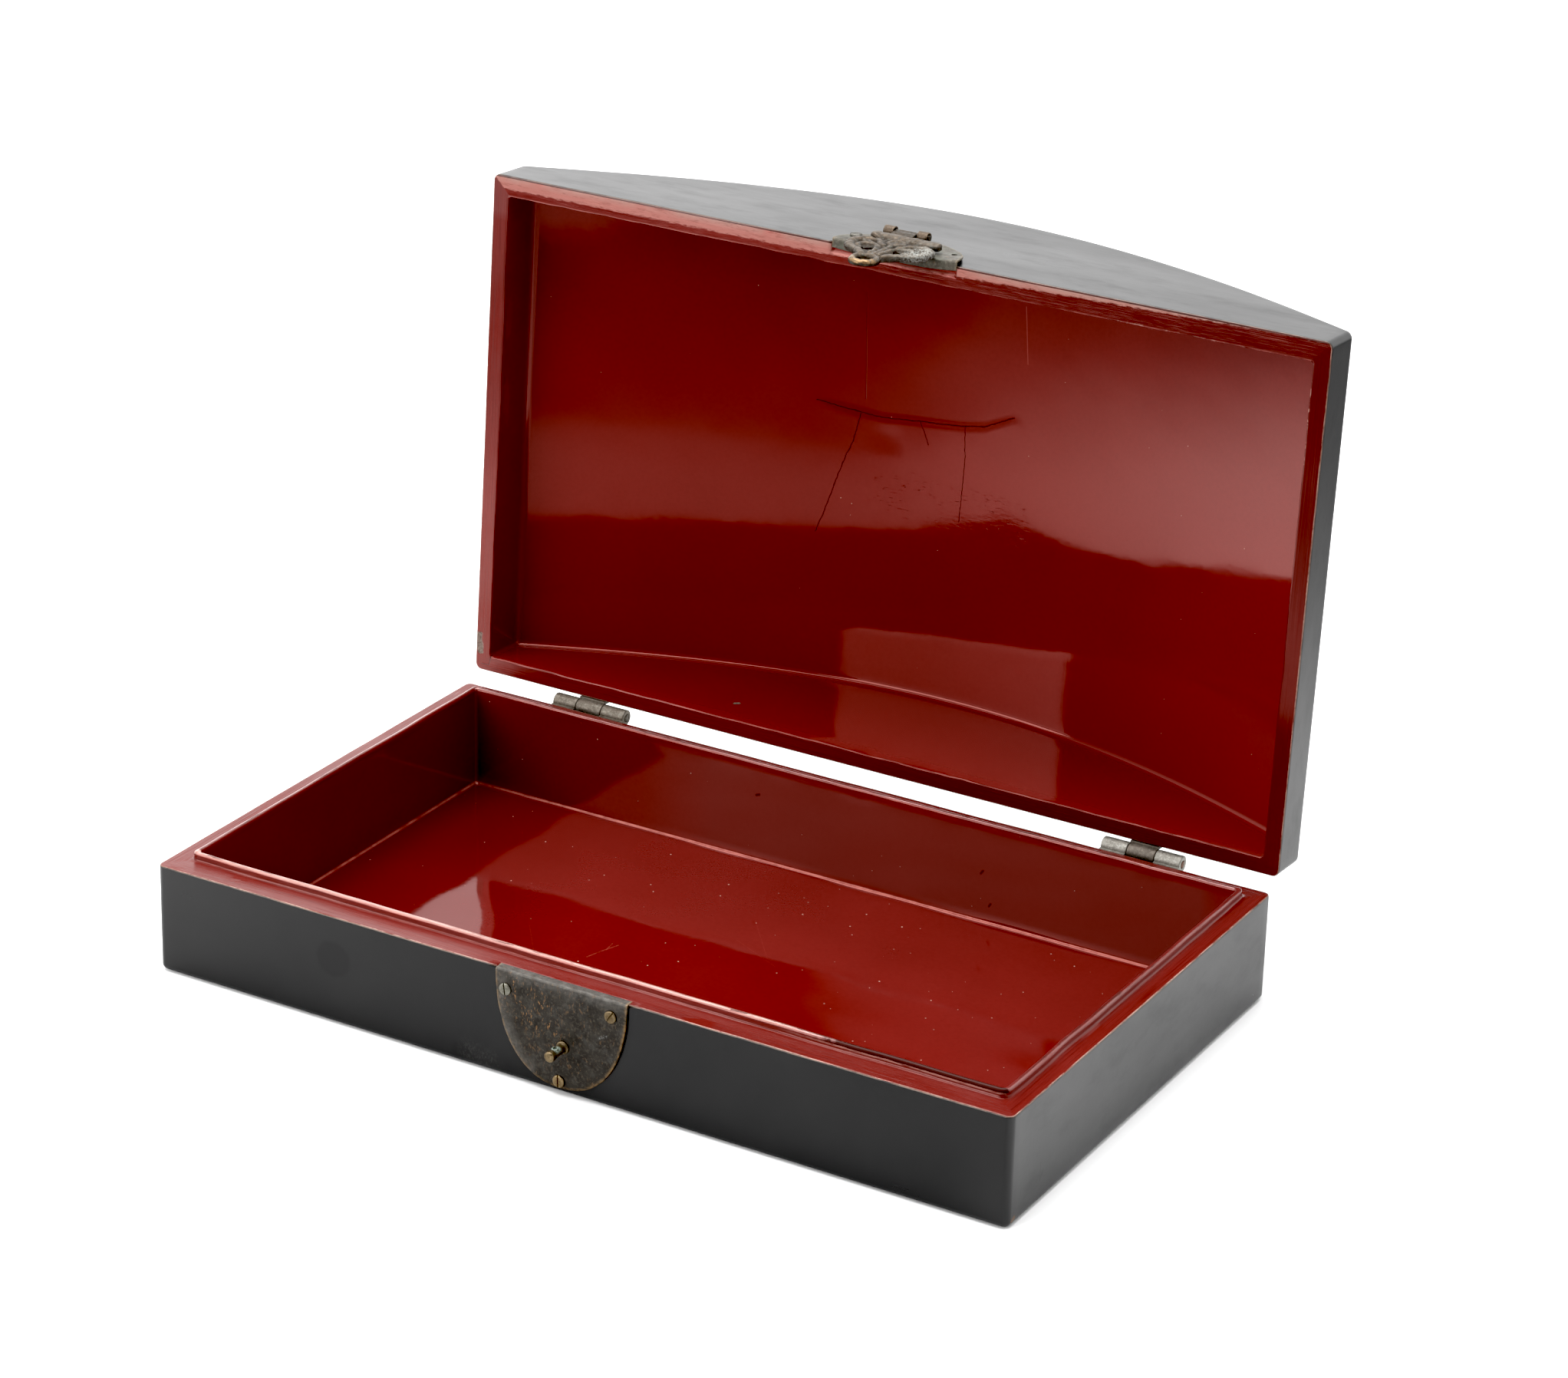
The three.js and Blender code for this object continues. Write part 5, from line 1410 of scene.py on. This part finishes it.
    p[:, 1] = -h2
    # the outline wanders a little, as a cast edge does
    near = np.clip(1 - dist / 1.0, 0, 1) * body
    p[:, 0] -= 0.12 * near * wobble(q, 414, 2, 8) * np.sign(x)
    d3 = np.stack([wobble(p, 415 + k_, 0.9, 3.5, 18) for k_ in range(3)], 1)
    p += 0.035 * d3
    set_coords(o, p)
    set_smooth = np.full(len(o.data.polygons), True)
    o.data.polygons.foreach_set("use_smooth", set_smooth)
    bar = np.clip((3.2 - d) / 1.2, 0, 1)
    ringw = np.clip((7.3 - rr) / 1.2, 0, 1) * np.clip((d - 38.5) / 3, 0, 1)
    float_attr(o, "wear", np.clip((top - 0.9) / 0.7, 0, 1) * body)
    float_attr(o, "ring", ringw)
    float_attr(o, "rub", np.clip((d - 44.8) / 2.2, 0, 1) * np.clip((h - 0.2) / 1.0, 0, 1) + 0.25 * np.clip((2.9 - np.abs(rr - 4.85)) - 2.4, 0, 1))
    float_attr(o, "lobe", np.clip(1.35 * right_lobe, 0, 1))
    float_attr(o, "pit", np.clip(1 - (top - 0.15) / 0.5, 0, 1) * body)
    place(o, "hasp", "hasp", [HASP_BRONZE], ["hasp"])


def metal(name, seed, tones, metallic, rough, bump_mm, flecks=None, grey=None, verdigris=None, edge=None, extra=None, sizes=(6.0, 1.2)):
    """Aged copper alloy. tones are the dark, middle and light colours of the patina."""
    m = Mat(name)
    a = m.noise(sizes[0], 4, 0.6, seed=seed)
    b = m.noise(sizes[1], 4, 0.65, seed=seed + 1)
    col = m.mix(m.ramp(a, 0.32, 0.62), tones[0], tones[1])
    col = m.mix(m.ramp(b, 0.50, 0.72), col, tones[2])
    if grey:
        amount, colour, size, lo = grey
        col = m.mix(m.mul(m.ramp(m.noise(size, 5, 0.65, seed=seed + 2), lo, lo + 0.18), amount), col, colour)
    if flecks:
        amount, colour, stretch, lo, field = flecks
        w = m.vec("ADD", m.p, m.vec("SCALE", m.noise(3.0, 2, 0.5, seed=seed + 13, colour=True), scale=1.4))
        f = m.noise(1.0, 5, 0.62, stretch=stretch, seed=seed + 3, p=w)
        g = m.ramp(m.noise(7.5, 3, 0.55, seed=seed + 4), 0.46, 0.6)
        if field is not None:
            g = field(m, g)
        col = m.mix(m.mul(m.mul(m.ramp(f, lo, lo + 0.05), g), amount), col, colour)
    if edge:
        amount, colour = edge
        e = m.mul(m.attr("wear"), m.ramp(m.noise(2.2, 4, 0.6, seed=seed + 5), 0.36, 0.56))
        col = m.mix(m.mul(e, amount), col, colour)
    if verdigris:
        amount, colour, size, lo = verdigris
        v = m.mul(m.ramp(m.noise(size, 4, 0.6, seed=seed + 6), lo, lo + 0.1), amount)
        col = m.mix(v, col, colour)
    r = m.ramp(m.noise(2.6, 4, 0.65, seed=seed + 7), 0.3, 0.7, rough[0], rough[1])
    met = metallic
    if extra:
        col, r, met = extra(m, col, r, met)
    m.set("Base Color", col)
    m.set("Metallic", met)
    m.set("Roughness", r)
    h = m.add(m.noise(1.7, 4, 0.65, seed=seed + 8), m.mul(m.noise(0.42, 3, 0.6, seed=seed + 9), 0.35))
    m.set("Normal", m.bump(h, bump_mm * MM))
    return m.m


def lock_field(m, g):
    """Rubbed flecks: most towards the upper left, some low on the right."""
    up_left = m.segments([(-22.0, 38.0), (-12.0, 33.0), (-6.0, 26.0)], (0, 2))
    low_right = m.segments([(12.0, 15.0), (19.0, 12.0)], (0, 2))
    a = m.ramp(up_left, 2.0, 13.0, 1.0, 0.0)
    b = m.ramp(low_right, 2.0, 9.0, 0.75, 0.0)
    return m.maxi(m.maxi(m.mul(a, m.ramp(g, 0.0, 1.0, 0.45, 1.0)), m.mul(b, g)), m.mul(g, 0.28))


def lock_extra(m, col, r, met):
    # pale haze on the fold and down the left edge
    sep = m.node("ShaderNodeSeparateXYZ")
    m.nt.links.new(m.p, sep.inputs[0])
    top = m.ramp(sep.outputs[2], 39.5, 46.0, 0.0, 1.0, smooth=True)
    left = m.ramp(m.segments([(-29.5, 44.0), (-28.5, 26.0), (-23.5, 14.0), (-16.0, 7.0)], (0, 2)), 1.0, 7.0, 0.75, 0.0, smooth=True)
    n = m.ramp(m.noise(3.2, 5, 0.7, seed=740), 0.36, 0.66, 0.25, 1.0)
    n2 = m.ramp(m.noise(1.1, 4, 0.7, stretch=(4, 1, 1), seed=741), 0.3, 0.7, 0.5, 1.0)
    hazy = m.mul(m.maxi(m.mul(top, n2), left), n)
    col = m.mix(m.mul(hazy, 0.5), col, (0.19, 0.18, 0.165))
    scr = m.ramp(m.segments([(17.0, 28.6), (19.2, 30.0), (20.4, 30.3)], (0, 2)), 0.0, 0.9, 1.0, 0.0)
    scr = m.mul(scr, m.ramp(m.noise(0.7, 3, 0.7, seed=742), 0.46, 0.6))
    col = m.mix(m.mul(scr, 0.45), col, (0.34, 0.34, 0.33))
    return col, m.add(r, m.mul(hazy, 0.06)), m.ramp(hazy, 0.0, 1.0, 0.75, 0.5)


def hasp_extra(m, col, r, met):
    lobe = m.mul(m.attr("lobe"), m.ramp(m.noise(0.9, 4, 0.7, seed=751), 0.42, 0.56))
    col = m.mix(m.mul(m.attr("pit"), 0.55), col, (0.018, 0.013, 0.009))
    col = m.mix(m.mul(lobe, 0.85), col, (0.27, 0.275, 0.255))
    ringa = m.mul(m.mul(m.attr("ring"), m.attr("rub")), m.ramp(m.noise(1.6, 4, 0.6, stretch=(1.5, 1, 0.6), seed=752), 0.36, 0.5))
    col = m.mix(m.mul(ringa, 0.85), col, (0.25, 0.16, 0.082))
    met = m.sub(0.8, m.mul(lobe, 0.75))
    return col, m.sub(m.add(r, m.mul(lobe, 0.3)), m.mul(ringa, 0.16)), met


LOCK_BRONZE = metal("lock_plate_bronze", 601, ((0.027, 0.0245, 0.022), (0.046, 0.042, 0.037), (0.078, 0.068, 0.056)), 0.75, (0.46, 0.62), 0.05,
                    flecks=(0.8, (0.34, 0.185, 0.082), (0.95, 1.3, 2.2), 0.575, lock_field), grey=(0.3, (0.10, 0.097, 0.09), 6.0, 0.5),
                    edge=(0.8, (0.27, 0.17, 0.08)), extra=lock_extra)
HASP_PLATE_BRONZE = metal("hasp_plate_bronze", 621, ((0.045, 0.040, 0.032), (0.082, 0.073, 0.058), (0.14, 0.126, 0.104)), 0.6, (0.45, 0.65), 0.06,
                          flecks=(0.6, (0.20, 0.115, 0.055), (1.4, 1, 1), 0.58, None), grey=(0.5, (0.12, 0.13, 0.105), 5.0, 0.45),
                          edge=(0.6, (0.24, 0.19, 0.13)))
HASP_BRONZE = metal("hasp_bronze", 641, ((0.031, 0.024, 0.018), (0.054, 0.042, 0.032), (0.090, 0.072, 0.054)), 0.8, (0.42, 0.62), 0.09,
                    flecks=(0.5, (0.19, 0.13, 0.08), (1.2, 1, 1), 0.58, None), grey=(0.4, (0.12, 0.12, 0.11), 2.4, 0.5),
                    edge=(0.5, (0.155, 0.12, 0.088)), verdigris=(0.35, (0.12, 0.16, 0.14), 1.6, 0.6), extra=hasp_extra, sizes=(3.5, 0.9))
HINGE_LEFT = metal("hinge_left_bronze", 661, ((0.085, 0.07, 0.056), (0.13, 0.112, 0.092), (0.22, 0.20, 0.165)), 0.7, (0.45, 0.62), 0.05,
                   grey=(0.4, (0.24, 0.235, 0.21), 2.2, 0.52), edge=(0.5, (0.26, 0.23, 0.18)), sizes=(4.0, 0.8))
HINGE_RIGHT = metal("hinge_right_bronze", 671, ((0.13, 0.122, 0.105), (0.21, 0.20, 0.175), (0.34, 0.33, 0.30)), 0.65, (0.42, 0.6), 0.06,
                    grey=(0.55, (0.42, 0.42, 0.39), 1.8, 0.54), edge=(0.6, (0.42, 0.42, 0.38)), sizes=(3.4, 0.7))
HINGE_MID = metal("hinge_middle_bronze", 681, ((0.075, 0.063, 0.052), (0.115, 0.098, 0.082), (0.17, 0.15, 0.125)), 0.65, (0.48, 0.65), 0.05,
                  grey=(0.35, (0.36, 0.35, 0.32), 1.3, 0.6), edge=(0.3, (0.2, 0.18, 0.15)), sizes=(3.6, 0.8))
PIN_BROWN = metal("hinge_pin_brown", 686, ((0.10, 0.055, 0.04), (0.17, 0.09, 0.06), (0.24, 0.15, 0.10)), 0.6, (0.45, 0.6), 0.03, sizes=(1.5, 0.4))
PIN_GREY = metal("hinge_pin_grey", 688, ((0.10, 0.088, 0.07), (0.15, 0.13, 0.105), (0.22, 0.20, 0.16)), 0.65, (0.45, 0.6), 0.03, sizes=(1.5, 0.4))
SCREW_BRASS = metal("screw_brass", 691, ((0.14, 0.098, 0.052), (0.24, 0.17, 0.09), (0.34, 0.25, 0.14)), 0.85, (0.30, 0.45), 0.02,
                    grey=(0.3, (0.12, 0.12, 0.10), 1.4, 0.55), edge=(0.5, (0.42, 0.33, 0.2)), sizes=(1.8, 0.5))
SCREW_GREY = metal("screw_grey", 701, ((0.11, 0.104, 0.082), (0.19, 0.182, 0.150), (0.29, 0.28, 0.24)), 0.85, (0.30, 0.46), 0.02,
                   verdigris=(0.4, (0.13, 0.15, 0.12), 1.4, 0.55), edge=(0.5, (0.36, 0.34, 0.29)), sizes=(1.6, 0.5))

SCREW_DARK = metal("screw_dark_brass", 694, ((0.075, 0.054, 0.032), (0.135, 0.098, 0.056), (0.21, 0.16, 0.095)), 0.85, (0.34, 0.5), 0.02,
                   grey=(0.3, (0.09, 0.088, 0.075), 1.4, 0.55), edge=(0.5, (0.30, 0.23, 0.14)), sizes=(1.8, 0.5))
SCREW_DULL = metal("screw_dull_grey", 706, ((0.060, 0.055, 0.046), (0.105, 0.098, 0.084), (0.17, 0.162, 0.142)), 0.7, (0.42, 0.58), 0.03,
                   edge=(0.4, (0.22, 0.21, 0.185)), sizes=(1.6, 0.5))


def stud_extra(m, col, r, met):
    sep = m.node("ShaderNodeSeparateXYZ")
    m.nt.links.new(m.p, sep.inputs[0])
    mid = m.mul(m.ramp(sep.outputs[1], -118.4, -116.9, 0.0, 1.0), m.ramp(sep.outputs[1], -114.4, -113.2, 1.0, 0.0))
    topz = m.ramp(sep.outputs[2], 20.3, 21.6, 0.0, 1.0)
    v = m.mul(m.mul(mid, topz), m.ramp(m.noise(0.9, 3, 0.6, seed=761), 0.36, 0.5))
    col = m.mix(m.mul(v, 0.8), col, (0.24, 0.31, 0.27))
    return col, m.add(r, m.mul(v, 0.25)), m.sub(0.85, m.mul(v, 0.7))


STUD_BRASS = metal("stud_brass", 711, ((0.075, 0.056, 0.034), (0.145, 0.108, 0.062), (0.23, 0.175, 0.105)), 0.85, (0.30, 0.48), 0.03,
                   grey=(0.35, (0.10, 0.09, 0.07), 1.3, 0.52), edge=(0.4, (0.34, 0.25, 0.14)), extra=stud_extra, sizes=(2.2, 0.6))
LOOP_BRASS = metal("loop_brown", 721, ((0.050, 0.036, 0.026), (0.082, 0.060, 0.043), (0.13, 0.098, 0.071)), 0.75, (0.42, 0.6), 0.05,
                   grey=(0.3, (0.12, 0.112, 0.10), 1.8, 0.55), edge=(0.4, (0.21, 0.16, 0.115)), sizes=(2.4, 0.6))

build_tray()
build_lid()
build_lock()
build_hinge("left", HINGES["left"], (HINGE_LEFT, HINGE_LEFT, PIN_GREY), 500)
build_hinge("right", HINGES["right"], (HINGE_RIGHT, HINGE_MID, PIN_BROWN), 540)
build_hasp_plate()
build_loops()
build_hasp()

# ---------------------------------------------------------------- camera
AZ_, EL_, ROLL_ = 0.5189814881198428, 0.4069210118996038, 0.027325433619514457
TX, TY, TZ, FPX = -27.263010450691894, -70.76447330909248, 1802.9002838711838, 5984.242950596671
back = Vector((math.sin(AZ_) * math.cos(EL_), -math.cos(AZ_) * math.cos(EL_), math.sin(EL_)))
right = Vector((0, 0, 1)).cross(back).normalized()
up = back.cross(right)
r2 = math.cos(ROLL_) * right + math.sin(ROLL_) * up
u2 = -math.sin(ROLL_) * right + math.cos(ROLL_) * up
rm = Matrix((r2, u2, back))
centre = Vector((0, 0, 50)) - rm.transposed() @ Vector((TX, TY, -TZ))
cam_data = bpy.data.cameras.new("camera")
cam_data.sensor_width = 36
cam_data.lens = FPX * 36 / 2044
cam_data.clip_start, cam_data.clip_end = 0.05, 50
cam = bpy.data.objects.new("camera", cam_data)
bpy.context.scene.collection.objects.link(cam)
m4 = rm.transposed().to_4x4()
m4.translation = centre * MM
cam.matrix_world = m4
bpy.context.scene.camera = cam

# ---------------------------------------------------------------- studio
scene = bpy.context.scene
scene.view_settings.view_transform = "Standard"
scene.view_settings.look = "None"
scene.view_settings.use_curve_mapping = True
tone = scene.view_settings.curve_mapping
tone.black_level = (0.022, 0.022, 0.022)
tone.white_level = (0.763, 0.763, 0.763)
tone.update()

floor = new_object("studio_floor", [(-6, -6, -0.0004), (6, -6, -0.0004), (6, 6, -0.0004), (-6, 6, -0.0004)], [(0, 1, 2, 3)])
fm = bpy.data.materials.new("studio_floor")
fm.use_nodes = True
fb = fm.node_tree.nodes["Principled BSDF"]
fb.inputs["Base Color"].default_value = (0.86, 0.86, 0.86, 1)
fb.inputs["Roughness"].default_value = 0.9
fb.inputs["Specular IOR Level"].default_value = 0.1
floor.data.materials.append(fm)

# surroundings: bright behind, above and to the sides, dim in front where the camera stands
world = bpy.data.worlds.new("studio_world")
scene.world = world
world.use_nodes = True
wt = world.node_tree
wt.nodes.clear()


def wnode(kind, **props):
    n = wt.nodes.new(kind)
    for k, v in props.items():
        setattr(n, k, v)
    return n


def wmath(op, a, b=0.0, clamp=False):
    n = wnode("ShaderNodeMath", operation=op, use_clamp=clamp)
    for i, v in enumerate((a, b)):
        if isinstance(v, bpy.types.NodeSocket):
            wt.links.new(v, n.inputs[i])
        else:
            n.inputs[i].default_value = v
    return n.outputs[0]


def wramp(x, lo, hi, a=0.0, b=1.0):
    n = wnode("ShaderNodeMapRange", clamp=True, interpolation_type="SMOOTHSTEP")
    wt.links.new(x, n.inputs[0])
    for i, v in enumerate((lo, hi, a, b)):
        n.inputs[i + 1].default_value = v
    return n.outputs[0]


wc = wnode("ShaderNodeTexCoord")
ws = wnode("ShaderNodeSeparateXYZ")
wt.links.new(wc.outputs["Generated"], ws.inputs[0])
wx, wy, wz = ws.outputs
flat_len = wmath("SQRT", wmath("ADD", wmath("MULTIPLY", wx, wx), wmath("MULTIPLY", wy, wy)))
ahead = wmath("DIVIDE", wmath("MULTIPLY", wy, -1.0), wmath("MAXIMUM", flat_len, 0.001))
dim = wmath("MULTIPLY", wramp(ahead, 0.35, 0.80), wramp(wz, 0.93, 0.70))
band = wmath("MULTIPLY", wramp(wz, 0.35, 0.40, 0.0, 1.0), wramp(wz, 0.50, 0.58, 0.30, 0.0))
behind = wmath("MULTIPLY", wramp(wx, -0.55, -0.34, 1.86, 1.47), wmath("SUBTRACT", 1.0, band))
part_back = wramp(ahead, -0.2, 0.5, 1.0, 0.0)
bright = wmath("ADD", wmath("MULTIPLY", behind, part_back), wmath("MULTIPLY", wmath("SUBTRACT", 1.0, part_back), 0.85))
level = wmath("ADD", wmath("MULTIPLY", bright, wmath("SUBTRACT", 1.0, dim)), wmath("MULTIPLY", dim, 0.13))
bg = wnode("ShaderNodeBackground")
bg.inputs[0].default_value = (1, 1, 1, 1)
wt.links.new(level, bg.inputs[1])
bg2 = wnode("ShaderNodeBackground")
bg2.inputs[0].default_value = (1, 1, 1, 1)
bg2.inputs[1].default_value = 1.05
lp = wnode("ShaderNodeLightPath")
mx = wnode("ShaderNodeMixShader")
wo = wnode("ShaderNodeOutputWorld")
wt.links.new(lp.outputs["Is Camera Ray"], mx.inputs[0])
wt.links.new(bg.outputs[0], mx.inputs[1])
wt.links.new(bg2.outputs[0], mx.inputs[2])
wt.links.new(mx.outputs[0], wo.inputs[0])


def area(name, loc, target, size, power, size_y=None):
    d = bpy.data.lights.new(name, "AREA")
    d.shape = "RECTANGLE"
    d.size, d.size_y = size, size_y or size
    d.energy = power
    o = bpy.data.objects.new(name, d)
    bpy.context.scene.collection.objects.link(o)
    o.location = loc
    o.rotation_mode = "QUATERNION"
    o.rotation_quaternion = (Vector(target) - Vector(loc)).to_track_quat("-Z", "Y")
    return o


area("overhead_softbox", (-0.2, 0.05, 1.7), (0, 0, 0), 1.5, 32)
area("front_left_softbox", (-0.97, -1.58, 0.92), (0, 0, 0.1), 1.5, 26, 1.1)

# in front the white table ends: a dark sheet on the floor there, seen by reflections only; it paints shade into what
# the box reflects, also over the floor around the box
gx = np.concatenate([np.linspace(-6, -1.35, 7), np.linspace(-1.3, 1.3, 53), np.linspace(1.35, 6, 7)])
gy = gx.copy()


def ease(t):
    t = min(max(t, 0.0), 1.0)
    return t * t * (3 - 2 * t)


# the sheet's darkness: black where the table ends in front, and painted shade over the floor, dimming away from the box
# and in front of its middle and right
cv, cf, cd = [], [], []
for j, y_ in enumerate(gy):
    for i, x_ in enumerate(gx):
        cv.append((x_, y_, -0.0003))
        near = math.hypot(x_, y_ - 0.1)
        left = 1 - 0.74 * ease((near - 0.50) / 0.36)
        past = 0.42 - 0.37 * ease((-y_ - 0.55) / 0.38)
        over = min(max((-y_ - 0.44) / 0.05, 0), 1) * ease((x_ + 0.62) / 0.26)
        value = left * (1 - over) + past * over if y_ < 0.3 and x_ < 0.3 else 1.0
        if y_ < 0:
            value *= 1 - 0.42 * ease((x_ + 0.42) / 0.36) * ease(-y_ / 0.1) * (1 - ease((x_ - 0.18) / 0.1) if y_ > -0.3 else 1)
        if x_ > 0.19 and y_ > -0.1:
            value = 1 - 0.72 * ease((math.hypot(x_ - 0.19, y_ - 0.1) - 0.12) / 0.55)
        cd.append((1 - value) / 0.965)
n_ = len(gx)
for j in range(len(gy) - 1):
    for i in range(n_ - 1):
        cf.append((j * n_ + i, j * n_ + i + 1, (j + 1) * n_ + i + 1, (j + 1) * n_ + i))
painted_shade_sheet = new_object("studio_painted_shade_sheet", cv, cf)
float_attr(painted_shade_sheet, "dark", cd)
cm = bpy.data.materials.new("studio_painted_shade_sheet")
cm.use_nodes = True
ct = cm.node_tree
cb = ct.nodes["Principled BSDF"]
cb.inputs["Base Color"].default_value = (0.03, 0.03, 0.03, 1)
cb.inputs["Roughness"].default_value = 1.0
cb.inputs["Specular IOR Level"].default_value = 0.0
ctr = ct.nodes.new("ShaderNodeBsdfTransparent")
cmx = ct.nodes.new("ShaderNodeMixShader")
cat = ct.nodes.new("ShaderNodeAttribute")
cat.attribute_name = "dark"
ct.links.new(cat.outputs["Fac"], cmx.inputs[0])
ct.links.new(ctr.outputs[0], cmx.inputs[1])
ct.links.new(cb.outputs[0], cmx.inputs[2])
ct.links.new(cmx.outputs[0], ct.nodes["Material Output"].inputs[0])
painted_shade_sheet.data.materials.append(cm)
painted_shade_sheet.visible_camera = False
painted_shade_sheet.visible_diffuse = False
painted_shade_sheet.visible_shadow = False
painted_shade_sheet.visible_transmission = False
painted_shade_sheet.visible_volume_scatter = False
